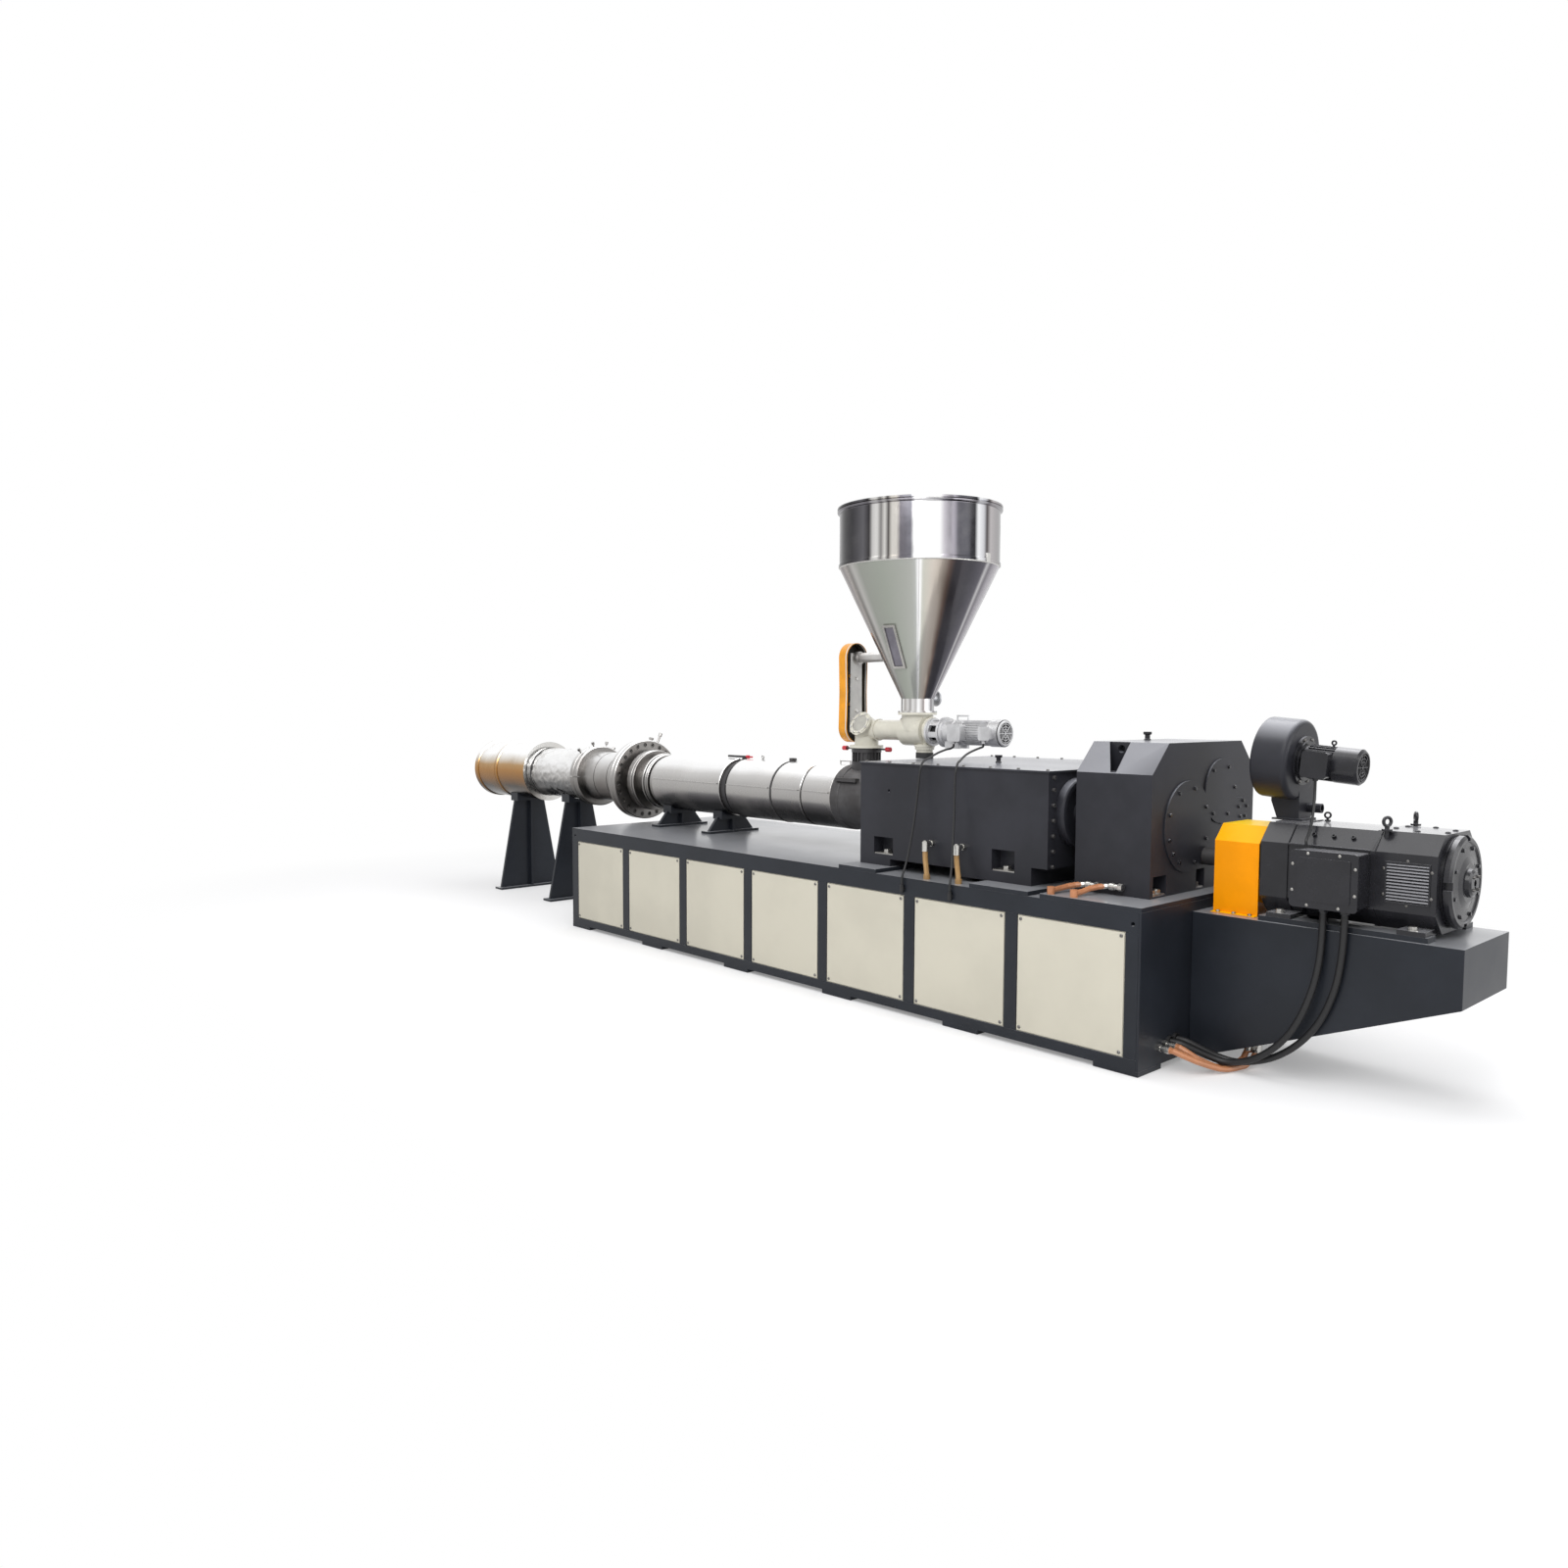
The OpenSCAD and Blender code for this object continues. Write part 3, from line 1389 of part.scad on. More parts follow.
// Union on the front of the gearbox, whose pipe runs back along the deck
module gear_pipe(x, z) {
    y = -gearbox_w / 2 - nut_r - 6;
    along_y(nut_r - 6, y, -gearbox_w / 2, x, z);
    pipe_nut([x + nut_r, y, z], [0, -90, 0]);
    upright(nut_r, pad_z, pad_z + 36, x - 128, y - 182);
    swept([[x - 34, y, z], [x - 62, y, z], [x - 98, y - 26, z - 6], [x - 118, y - 66, z - 12],
        [x - 126, y - 116, pad_z + 20], [x - 128, y - 172, pad_z + 17]], pipe_r, [1, -1, 0]);
}

// Union on the end plate, whose pipe lies on the floor on its way to the motor base
module base_pipe(y, z, x) {
    first = base_pipes[0];
    pipe_nut([0, y, z], [0, 90, 0]);
    swept([for (i = [0:len(base_pipe_route) - 1])
        let (k = base_pipe_shares[i])
        base_pipe_route[i] + [k * (x - first[2]), (1 - k) * (y - first[0]), (1 - k) * (z - first[1])]],
        pipe_r, [1, -1, 0]);
    difference() {
        upright(nut_r + 2, 62, 140, x, -180);
        motor_base_body(seat);
    }
}

module oil_pipes() {
    color(copper) {
        for (x = box_pipe_x)
            box_pipe(dist_x1 - x);
        for (g = gear_pipes)
            gear_pipe(gearbox_x0 + g[0], pad_z + g[1]);
        for (b = base_pipes)
            base_pipe(b[0], b[1], b[2]);
    }
}

// Direction from one point to the next
function unit(v) = v / norm(v);
function heading(p, i) = unit(p[min(i + 1, len(p) - 1)] - p[max(i - 1, 0)]);

// Ring of points round a route point; the across vector keeps the rings from twisting
function ring(p, i, r, n, across) =
    let (d = heading(p, i), s = unit(cross(d, across)), t = cross(d, s))
    [for (k = [0:n - 1]) p[i] + r * (cos(k * 360 / n) * s + sin(k * 360 / n) * t)];

// Tube swept along a route
module swept(p, r, across, n = 8) {
    m = len(p);
    points = [for (i = [0:m - 1]) each ring(p, i, r, n, across)];
    sides = [for (i = [0:m - 2], k = [0:n - 1])
        [i * n + k, (i + 1) * n + k, (i + 1) * n + (k + 1) % n, i * n + (k + 1) % n]];
    start = [for (k = [0:n - 1]) k];
    end = [for (k = [0:n - 1]) m * n - 1 - k];
    polyhedron(points, concat([start], sides, [end]), convexity = 6);
}

motor_cable_d = 30;
motor_route_1 = [
    [605, -300, 776], [605, -300, 735], [604, -303, 660], [600, -310, 570], [588, -320, 480],
    [568, -332, 395], [538, -342, 310], [496, -348, 232], [440, -352, 162], [372, -354, 104],
    [300, -356, 66], [220, -364, 46], [158, -388, 60], [104, -430, 88], [56, -460, 110], [0, -472, 117]
];
motor_route_2 = [
    [695, -302, 776], [695, -302, 735], [693, -302, 660], [686, -303, 570], [672, -304, 480],
    [648, -306, 395], [612, -308, 310], [562, -310, 232], [498, -312, 162], [420, -314, 104],
    [336, -316, 66], [250, -322, 46], [176, -340, 56], [112, -378, 86], [56, -406, 112], [0, -416, 119]
];
module motor_cable_1() {
    color(cable_black)
        swept(motor_route_1, motor_cable_d / 2, [0, 1, 0]);
}

module motor_cable_2() {
    color(cable_black)
        swept(motor_route_2, motor_cable_d / 2, [0, 1, 0]);
}

thin_cable_d = 12;
fan_route = [
    [470, -100, 1328], [470, -100, 1300], [472, -106, 1262], [476, -120, 1222], [482, -142, 1182],
    [490, -172, 1144], [498, -206, 1116], [506, -242, 1096], [512, -272, 1078], [512, -272, 1046]
];
module fan_cable() {
    color(cable_black)
        swept(fan_route, thin_cable_d / 2, [1, 0, 0]);
}

feeder_route_1 = [
    [-1600, -96, 1440], [-1600, -98, 1424], [-1596, -125, 1414], [-1582, -180, 1410],
    [-1558, -245, 1404], [-1528, -315, 1397], [-1492, -390, 1389], [-1455, -465, 1380],
    [-1418, -540, 1371], [-1396, -596, 1362], [-1388, -624, 1338], [-1390, -634, 1290],
    [-1395, -642, 1200], [-1400, -655, 1080], [-1404, -680, 950], [-1407, -708, 840],
    [-1408, -735, 775], [-1408, -747, 745], [-1408, -747, 705]
];
feeder_route_2 = [
    [-1385, -96, 1446], [-1385, -98, 1430], [-1378, -130, 1424], [-1360, -190, 1417],
    [-1334, -260, 1409], [-1300, -335, 1401], [-1262, -410, 1392], [-1220, -485, 1382],
    [-1182, -550, 1371], [-1158, -598, 1362], [-1146, -626, 1336], [-1146, -636, 1285],
    [-1140, -645, 1190], [-1130, -660, 1065], [-1116, -684, 940], [-1100, -710, 835],
    [-1086, -736, 772], [-1080, -747, 745], [-1080, -747, 705]
];
module feeder_cable_1() {
    color(cable_black)
        swept(feeder_route_1, thin_cable_d / 2, [1, 0, 0]);
}

module feeder_cable_2() {
    color(cable_black)
        swept(feeder_route_2, thin_cable_d / 2, [1, 0, 0]);
}

gland_top = 705;
gland_out = 11;
module cable_glands() {
    color(steel) {
        for (p = [feeder_route_1[18], feeder_route_2[18]]) {
            block([p[0] - 13, -half_w - gland_out - 2, gland_top - 30], [p[0] + 13, -half_w, gland_top - 12]);
            upright(gland_out, gland_top - 40, gland_top, p[0], p[1]);
        }
        for (p = [motor_route_1[len(motor_route_1) - 1], motor_route_2[len(motor_route_2) - 1]])
            difference() {
                along_x(26, 0, 14, p[1], p[2]);
                along_x(20, -1, 15, p[1], p[2]);
            }
    }
}

module centred() {
    translate([centre_shift, 0, 0])
        children();
}

centred() base_rails();
centred() base_posts();
centred() base_cross_members();
centred() base_end_plates();
centred() base_deck();
centred() base_feet();
centred() front_panels();
centred() rear_panels();
centred() motor_base();
centred() motor_frame();
centred() motor_end_cover();
centred() motor_terminal_box();
centred() motor_lifting_eyes();
centred() coupling_guard();
centred() shaft_couplings();
centred() fan_housing();
centred() fan_motor();
centred() gearbox_housing();
centred() bearing_covers();
centred() box_breathers();
centred() distribution_box();
centred() distribution_cover();
centred() feed_section();
centred() barrel();
centred() heater_covers();
centred() cover_bands();
centred() vacuum_vent();
centred() barrel_supports();
centred() barrel_adapter();
centred() head_flange();
centred() head_body();
centred() head_clamp_ring();
centred() head_wraps();
centred() die_barrel();
centred() die_core();
centred() head_stand();
centred() throat_block();
centred() feeder_tube();
centred() feeder_sight_port();
centred() feeder_leg();
centred() feeder_gearmotor();
centred() chain_guard();
centred() agitator_tube();
centred() hopper_shell();
centred() hopper_cone();
centred() hopper_sight_glass();
centred() oil_pipes();
centred() motor_cable_1();
centred() motor_cable_2();
centred() fan_cable();
centred() feeder_cable_1();
centred() feeder_cable_2();
centred() cable_glands();
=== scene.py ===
# Plastic extruder with hopper and pipe head: finishes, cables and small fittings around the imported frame
import math
import random

import bmesh
import bpy
from mathutils import Matrix, Vector, noise
from mathutils.bvhtree import BVHTree


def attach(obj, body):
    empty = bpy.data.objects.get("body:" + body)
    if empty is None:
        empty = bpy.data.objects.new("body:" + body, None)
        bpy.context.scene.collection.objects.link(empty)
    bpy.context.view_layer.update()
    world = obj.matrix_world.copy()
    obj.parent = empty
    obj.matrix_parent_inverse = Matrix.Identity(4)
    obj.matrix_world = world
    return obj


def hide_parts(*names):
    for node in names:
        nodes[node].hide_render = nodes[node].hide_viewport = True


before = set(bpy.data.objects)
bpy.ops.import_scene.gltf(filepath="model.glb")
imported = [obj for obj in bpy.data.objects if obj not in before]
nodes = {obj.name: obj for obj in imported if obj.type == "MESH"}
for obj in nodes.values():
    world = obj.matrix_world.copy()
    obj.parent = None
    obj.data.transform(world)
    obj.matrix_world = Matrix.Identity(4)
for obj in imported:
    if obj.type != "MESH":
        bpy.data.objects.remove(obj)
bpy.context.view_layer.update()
scene = bpy.context.scene
scene.view_settings.view_transform = "Standard"

shift = 3.022  # the source has x = 0 at the drive end of the base, this far from the machine's middle


# millimetres from the drive end of the base, as a place in metres
def at(x, y, z):
    return Vector((x / 1000 + shift, y / 1000, z / 1000))


def placeX(x):
    return at(x, 0, 0).x


def shaded(colour, share):
    return tuple(min(1, c * share) for c in colour)


def addObject(name, data):
    made = bpy.data.objects.new(name, data)
    scene.collection.objects.link(made)
    return made


# camera, where the photograph was taken from
cameraSettings = {
    "place": (5.646, -5.258, 1.650),
    "turnedLeft": 47.78,  # degrees from straight along +Y
    "tiltedDown": 3.87,
    "roll": 0.16,
    "lens": 26.08,
}


def makeCamera(spec):
    data = bpy.data.cameras.new("photoCamera")
    data.sensor_width = 36
    data.lens = spec["lens"]
    data.clip_end = 100
    camera = addObject("photoCamera", data)
    turn = Matrix.Rotation(math.radians(spec["turnedLeft"]), 4, "Z")
    tilt = Matrix.Rotation(math.radians(90 - spec["tiltedDown"]), 4, "X")
    roll = Matrix.Rotation(math.radians(spec["roll"]), 4, "Z")
    camera.matrix_world = Matrix.Translation(spec["place"]) @ turn @ tilt @ roll
    scene.camera = camera


makeCamera(cameraSettings)
print("camera placed")


# shader maths: arithmetic on a socket adds Math nodes
class Sock:
    def __init__(self, look, link):
        self.look = look
        self.link = link

    def do(self, operation, other, flip=False):
        first, second = (other, self) if flip else (self, other)
        return self.look.maths(operation, first, second)

    def __add__(self, other):
        return self.do("ADD", other)

    def __sub__(self, other):
        return self.do("SUBTRACT", other)

    def __rsub__(self, other):
        return self.do("SUBTRACT", other, flip=True)

    def __mul__(self, other):
        return self.do("MULTIPLY", other)

    def __truediv__(self, other):
        return self.do("DIVIDE", other)

    __radd__ = __add__
    __rmul__ = __mul__


# the nodes of one material, or of the world; node() adds any node to it
class Look:
    def __init__(self, name, kind=bpy.data.materials):
        self.owner = kind.new(name)
        self.owner.use_nodes = True
        self.tree = self.owner.node_tree
        self.tree.nodes.clear()

    def node(self, kind, spec=None, values=None, out=0):
        made = self.tree.nodes.new(kind)
        for name, value in (spec or {}).items():
            if name == "stops":
                spots = made.color_ramp.elements
                spots.remove(spots[-1])
                for i, (place, *colour) in enumerate(value):
                    spot = spots[0] if i == 0 else spots.new(place)
                    spot.position = place
                    spot.color = (*colour, 1)
            else:
                setattr(made, name, value)
        for name, value in (values or {}).items():
            if isinstance(value, Sock):
                self.tree.links.new(value.link, made.inputs[name])
            elif isinstance(value, tuple) and len(value) == 3 and made.inputs[name].type == "RGBA":
                made.inputs[name].default_value = (*value, 1)
            else:
                made.inputs[name].default_value = value
        return Sock(self, made.outputs[out])

    def maths(self, operation, *values):
        return self.node("ShaderNodeMath", {"operation": operation}, dict(enumerate(values)))

    def place(self, stretch=(1, 1, 1)):
        where = self.node("ShaderNodeTexCoord", out=3)
        if stretch == (1, 1, 1):
            return where
        return self.node("ShaderNodeMapping", {}, {"Vector": where, "Scale": stretch})

    def noise(self, scale, detail=3, roughness=0.55, stretch=(1, 1, 1)):
        values = {"Vector": self.place(stretch), "Scale": scale, "Detail": detail, "Roughness": roughness}
        return self.node("ShaderNodeTexNoise", {}, values)

    def between(self, value, low, high, toLow=0, toHigh=1):
        values = {"Value": value, "From Min": low, "From Max": high, "To Min": toLow, "To Max": toHigh}
        return self.node("ShaderNodeMapRange", {"interpolation_type": "SMOOTHSTEP"}, values)

    # masks: 1 above an edge, 1 below it, and 1 from one edge to the other
    def step(self, value, edge, soft=0.0008):
        values = {"Value": value, "From Min": edge - soft, "From Max": edge + soft}
        return self.node("ShaderNodeMapRange", {"clamp": True}, values)

    def under(self, value, edge, soft=0.0008):
        return 1.0 - self.step(value, edge, soft)

    def span(self, value, low, high):
        return self.step(value, low) * self.under(value, high)

    def split(self, vector):
        return [self.node("ShaderNodeSeparateXYZ", {}, {0: vector}, out=i) for i in range(3)]

    def axes(self):
        return self.split(self.place())

    def facing(self):
        return self.split(self.node("ShaderNodeNewGeometry", out=1))

    def most(self, first, second):
        return self.maths("MAXIMUM", first, second)

    def least(self, first, second):
        return self.maths("MINIMUM", first, second)

    def absolute(self, value):
        return self.maths("ABSOLUTE", value)

    def apart(self, first, second):
        return self.maths("SQRT", first * first + second * second)

    def ramp(self, value, stops):
        return self.node("ShaderNodeValToRGB", {"stops": stops}, {0: value})

    def mix(self, factor, first, second):
        return self.node("ShaderNodeMix", {"data_type": "RGBA"}, {0: factor, 6: first, 7: second}, out=2)

    def bump(self, height, distance, normal=None):
        values = {"Height": height, "Distance": distance}
        if normal is not None:
            values["Normal"] = normal
        return self.node("ShaderNodeBump", {}, values)

    def surface(self, **values):
        named = {key.replace("_", " "): value for key, value in values.items()}
        return self.output(self.node("ShaderNodeBsdfPrincipled", {}, named))

    def output(self, shader, kind="ShaderNodeOutputMaterial"):
        self.tree.links.new(shader.link, self.tree.nodes.new(kind).inputs["Surface"])
        return self.owner


# enamel on castings and plate: slight blotches, orange peel, and a painted sheen that makes what faces up paler
def enamel(name, colour, spec):
    look = Look(name)
    blotch = look.noise(spec["blotchScale"], 4)
    fine = look.noise(spec["peelScale"], 2)
    dark, light = shaded(colour, 1 - spec["blotch"]), shaded(colour, 1 + spec["blotch"])
    tone = look.mix(look.between(blotch, *spec["blotchEdges"]), dark, light)
    wide = look.between(look.noise(spec["wideScale"], 4, 0.6, (0.6, 1, 1)), *spec["wideEdges"])
    # painted sheen: faces turned up are mixed towards a pale colour in wide patches
    pale = look.between(look.facing()[2], spec["topFrom"], spec["topFull"]) * wide
    tone = look.mix(pale * spec["topSheen"], tone, spec["topColour"])
    # painted highlight: the upward faces at the outer edges of the louvres are coloured pale
    if "slats" in spec:  # the outer edges of the louvres catch the light
        ends, heights, out = spec["slats"]
        x, y, z = look.axes()
        window = look.span(x, *[placeX(end) for end in ends]) * look.span(z, *[level / 1000 for level in heights])
        window = window * look.step(look.absolute(y), out / 1000)
        upwards = look.between(look.facing()[2], *spec["slatEdges"])
        tone = look.mix(window * upwards, tone, spec["slatColour"])
    rough = spec["roughness"] + (blotch - 0.5) * spec["roughVary"]
    return look.surface(Base_Color=tone, Roughness=rough, Metallic=0.0, Specular_IOR_Level=spec["specular"],
                        Coat_Weight=spec["coat"] + pale * spec["topCoat"],
                        Coat_Roughness=spec["coatRoughness"], Normal=look.bump(fine, spec["peelDepth"]))


frameEnamel = {
    "blotchScale": 3.0, "blotch": 0.12, "blotchEdges": (0.35, 0.65), "peelScale": 420, "peelDepth": 0.00012,
    "roughness": 0.40, "roughVary": 0.18, "specular": 0.22, "coat": 0.06, "coatRoughness": 0.20,
    "topSheen": 0.60, "topColour": (0.50, 0.51, 0.54), "topFrom": 0.55, "topFull": 0.97, "topCoat": 0.9,
    "wideScale": 1.1, "wideEdges": (0.22, 0.7, 0.55, 1.0),
}
castEnamel = dict(frameEnamel, blotch=0.16, peelScale=260, peelDepth=0.0003, roughness=0.44, topSheen=0.44,
                  topFrom=0.35, topColour=(0.52, 0.53, 0.59), coat=0.04)
# slats: from and to in x and z, and how far out they are, in mm
glossEnamel = dict(frameEnamel, blotchScale=9, peelScale=300, peelDepth=0.0002, roughness=0.26, topFrom=0.68,
                   slats=((828, 992), (846, 1014), 225.5), slatEdges=(0.25, 0.5), slatColour=(0.30, 0.30, 0.32),
                   topColour=(0.62, 0.62, 0.66), specular=0.30, coat=0.15, coatRoughness=0.12)
creamEnamel = dict(frameEnamel, blotchScale=1.6, blotch=0.045, peelScale=700, peelDepth=0.0001, roughness=0.5,
                   topSheen=0.0, topCoat=0.0, coat=0.05)
yellowEnamel = dict(frameEnamel, blotchScale=5, blotch=0.05, peelScale=500, roughness=0.34, topSheen=0.85,
                    topColour=(0.95, 0.72, 0.002), topCoat=0.04, coat=0.02, specular=0.10)
feederEnamel = dict(frameEnamel, blotchScale=12, blotch=0.05, peelScale=300, peelDepth=0.0002, roughness=0.33,
                    topSheen=0.1, topColour=(0.85, 0.83, 0.78), topCoat=0.3, coat=0.3, specular=0.4)


# bare or plated metal: fine lines along one direction, smudges and heat tint
def bareMetal(name, colour, spec):
    look = Look(name)
    lines = look.noise(spec["lineScale"], 2, 0.6, spec["lineStretch"])
    shade = look.between(look.noise(spec["smudgeScale"], 5, 0.6), *spec["smudgeEdges"])
    tone = look.mix(shade * spec["smudge"], colour, spec["smudgeColour"])
    rough = spec["roughness"] + (lines - 0.5) * spec["lineRough"] + shade * spec["smudgeRough"]
    return look.surface(Base_Color=tone, Roughness=rough, Metallic=spec["metallic"],
                        Normal=look.bump(lines, spec["lineDepth"]))


steelTurned = {
    "lineScale": 30, "lineStretch": (12, 1, 1), "lineRough": 0.18, "lineDepth": 0.00025,
    "smudgeScale": 7, "smudgeEdges": (0.3, 0.72), "smudge": 0.35, "smudgeColour": (0.30, 0.28, 0.26),
    "smudgeRough": 0.18, "roughness": 0.30, "metallic": 1.0,
}
platedSheet = dict(steelTurned, lineScale=40, lineStretch=(8, 1, 1), lineRough=0.12, lineDepth=0.00015, smudge=0.2,
                   smudgeColour=(0.55, 0.53, 0.50), roughness=0.26)
heatDark = dict(steelTurned, smudge=0.6, smudgeColour=(0.05, 0.045, 0.045), smudgeRough=0.25, roughness=0.42,
                metallic=0.75)
boltFinish = dict(steelTurned, lineScale=90, lineStretch=(1, 1, 1), smudge=0.4, smudgeColour=(0.16, 0.15, 0.14),
                  roughness=0.34)
alloyPaint = dict(steelTurned, lineScale=60, lineStretch=(1, 1, 1), smudge=0.3, smudgeColour=(0.36, 0.36, 0.37),
                  roughness=0.38, metallic=0.85)


# rubber and glass with a faint grain
def plainLook(name, colour, spec):
    look = Look(name)
    grain = look.noise(spec["grainScale"], 3)
    tone = look.mix(look.between(grain, 0.3, 0.7), shaded(colour, spec["dark"]), colour)
    return look.surface(Base_Color=tone, Roughness=spec["roughness"] + (grain - 0.5) * spec["roughVary"],
                        Normal=look.bump(grain, spec["grainDepth"]), IOR=1.45)


cableRubber = {"roughness": 0.5, "roughVary": 0.2, "grainScale": 180, "grainDepth": 0.0002, "dark": 0.8}
paneFinish = dict(cableRubber, roughness=0.12, grainScale=20, grainDepth=0.0001)


# polished sheet of the hopper: painted reflections in upright bands of light and dark, fixed round its axis
hopper = {
    "x": -1963, "front": -48.9,  # mm; the front's direction in degrees from +X
    "roughness": 0.14, "roughVary": 0.06, "grainScale": 24, "grainDepth": 0.00006, "waver": 0.004,
    "smudge": 0.05, "smudgeColour": (0.42, 0.41, 0.40), "smudgeRough": 0.10, "coneMetal": 0.55,
    "insideColour": (0.60, 0.59, 0.58), "insideRough": 0.3, "insideMetal": 0.35, "neckTop": 1703,
    "beadFrom": 2806, "beadTo": 2824, "bead": 0.6, "beadShade": (0.20, 0.19, 0.21),
    # painted reflections: degrees from the front, then the colour
    "neckBands": [
        (-180, 0.5, 0.5, 0.5), (-85, 0.16, 0.15, 0.15), (-70, 0.30, 0.29, 0.29), (-60, 0.80, 0.80, 0.79),
        (-50, 0.34, 0.32, 0.30), (-36, 0.62, 0.61, 0.60), (-26, 0.30, 0.29, 0.28), (-18, 0.70, 0.69, 0.68),
        (-6, 0.45, 0.44, 0.43), (2, 0.95, 0.95, 0.95), (12, 0.60, 0.58, 0.57), (20, 0.28, 0.25, 0.24),
        (30, 0.55, 0.54, 0.54), (42, 0.85, 0.85, 0.86), (52, 0.24, 0.23, 0.24), (66, 0.50, 0.50, 0.51),
        (80, 0.20, 0.20, 0.20), (178, 0.5, 0.5, 0.5)],
    "cylinderBands": [
        (-180, 0.202, 0.198, 0.205), (-150, 0.747, 0.742, 0.742), (-120, 0.0402, 0.0384, 0.0432),
        (-95, 0.145, 0.142, 0.15), (-84, 0.0144, 0.0126, 0.0144), (-66, 0.0132, 0.0126, 0.0138),
        (-54, 0.033, 0.0318, 0.036), (-42, 0.123, 0.12, 0.131), (-36, 0.0258, 0.024, 0.0258),
        (-34, 0.54, 0.53, 0.52), (-30, 0.727, 0.717, 0.697), (-27, 0.189, 0.181, 0.178),
        (-24, 0.682, 0.667, 0.642), (-21, 0.051, 0.0444, 0.0432), (-19, 0.65, 0.625, 0.585),
        (-15, 0.627, 0.597, 0.557), (-13, 0.144, 0.135, 0.153), (-5, 0.155, 0.153, 0.176), (-3, 1, 1, 1),
        (14, 1, 1, 1), (17, 0.598, 0.573, 0.618), (23, 0.138, 0.13, 0.147), (27, 0.0306, 0.03, 0.0348),
        (41, 0.0264, 0.0264, 0.0312), (44, 0.913, 0.923, 0.943), (50, 0.61, 0.61, 0.64),
        (53, 0.033, 0.0234, 0.0234), (58, 0.485, 0.46, 0.465), (74, 0.186, 0.178, 0.183),
        (88, 0.039, 0.0372, 0.039), (130, 0.618, 0.613, 0.618), (178, 0.202, 0.198, 0.205)],
    "coneBands": [
        (-180, 0.42, 0.42, 0.41), (-140, 0.10, 0.10, 0.10), (-104, 0.50, 0.49, 0.47), (-86, 0.12, 0.07, 0.05),
        (-74, 0.07, 0.05, 0.05), (-68, 0.30, 0.27, 0.25), (-62, 0.17, 0.16, 0.15), (-56, 0.42, 0.41, 0.39),
        (-48, 0.27, 0.28, 0.25), (-28, 0.30, 0.32, 0.28), (-6, 0.36, 0.37, 0.34), (-2, 0.42, 0.43, 0.41),
        (-0.8, 0.95, 0.95, 0.96), (0.8, 0.90, 0.90, 0.90), (3, 0.50, 0.50, 0.44), (10, 0.55, 0.50, 0.44),
        (17, 0.46, 0.40, 0.34), (22, 0.16, 0.11, 0.09), (26, 0.05, 0.045, 0.05), (40, 0.048, 0.046, 0.055),
        (53, 0.085, 0.08, 0.10), (56, 0.50, 0.49, 0.50), (60, 0.14, 0.13, 0.15), (66, 0.30, 0.28, 0.31),
        (80, 0.40, 0.38, 0.41), (90, 0.14, 0.13, 0.15), (135, 0.5, 0.5, 0.49), (178, 0.42, 0.42, 0.41)],
}


def paintedReflectionSheet(name, bands, metallic, spec):
    look = Look(name)
    x, y, z = look.axes()
    fromAxis = x - placeX(spec["x"])
    waver = (look.noise(1.3, 2, 0.5, (1, 1, 0.5)) - 0.5) * spec["waver"]
    turn = look.maths("ARCTAN2", y, fromAxis) / math.tau + (0.5 - spec["front"] / 360) + waver
    share = look.maths("FRACT", turn)
    # painted reflections: the colour is read from a ring of bands by the angle round the hopper's axis
    tone, neck = [look.ramp(share, [(0.5 + degrees / 360, *colour) for degrees, *colour in table])
                  for table in (bands, spec["neckBands"])]
    tone = look.mix(look.step(z, spec["neckTop"] / 1000), neck, tone)
    side, across, up = look.facing()
    inside = look.under(side * fromAxis + across * y, 0.0)
    tone = look.mix(inside, tone, spec["insideColour"])
    # painted shade: a grey line on the bead below the rim
    bead = look.span(z, spec["beadFrom"] / 1000, spec["beadTo"] / 1000) * (1.0 - inside)
    tone = look.mix(bead * spec["bead"], tone, spec["beadShade"])
    smudge = look.between(look.noise(6, 4, 0.6), 0.4, 0.75)
    tone = look.mix(smudge * spec["smudge"], tone, spec["smudgeColour"])
    grain = look.noise(spec["grainScale"], 2, 0.6, (1, 1, 0.03))
    rough = inside * spec["insideRough"] + spec["roughness"] + smudge * spec["smudgeRough"]
    return look.surface(Base_Color=tone, Roughness=rough + (grain - 0.5) * spec["roughVary"],
                        Metallic=metallic - inside * (metallic - spec["insideMetal"]),
                        Normal=look.bump(grain, spec["grainDepth"]))


# sheet round a horizontal pipe: painted reflection white above, grey at the side, painted shade dark below, fine
# scratches round it
def clad(name, stops, spec):
    look = Look(name)
    side, across, up = look.facing()
    lines = look.noise(spec["lineScale"], 3, 0.6, spec["lineStretch"])
    dent = look.noise(spec["dentScale"], 3, 0.5)
    # painted light and shade: the colour follows how far the surface faces up
    height = up * 0.5 + 0.5 + (dent - 0.5) * spec["dentShade"]
    tone = look.ramp(height, stops)
    if "endColour" in spec:  # the face towards the drive, then the rear side and the far end
        end = look.step(side, spec["faceOn"]) * look.step(look.axes()[0], placeX(spec["endFrom"]))
        tone = look.mix(end, tone, spec["endColour"])
        # painted light and shade on the rear side: the cover's ramp, without the ochre
        rear = look.between(across, *spec["rearEdges"])
        tone = look.mix(rear, tone, look.ramp(height, spec["rearShades"]))
        tone = look.mix(look.step(-1.0 * side, spec["faceOn"]), tone, spec["tipColour"])
    smudge = look.between(look.noise(4, 3, 0.5), *spec["smudgeEdges"])
    tone = look.mix(smudge * spec["smudge"], tone, spec["smudgeColour"])
    rough = spec["roughness"] + smudge * spec["smudgeRough"] + (lines - 0.5) * spec["lineRough"]
    bumped = look.bump(dent, spec["dentDepth"], normal=look.bump(lines, spec["lineDepth"]))
    return look.surface(Base_Color=tone, Roughness=rough, Metallic=spec["metallic"], Normal=bumped)


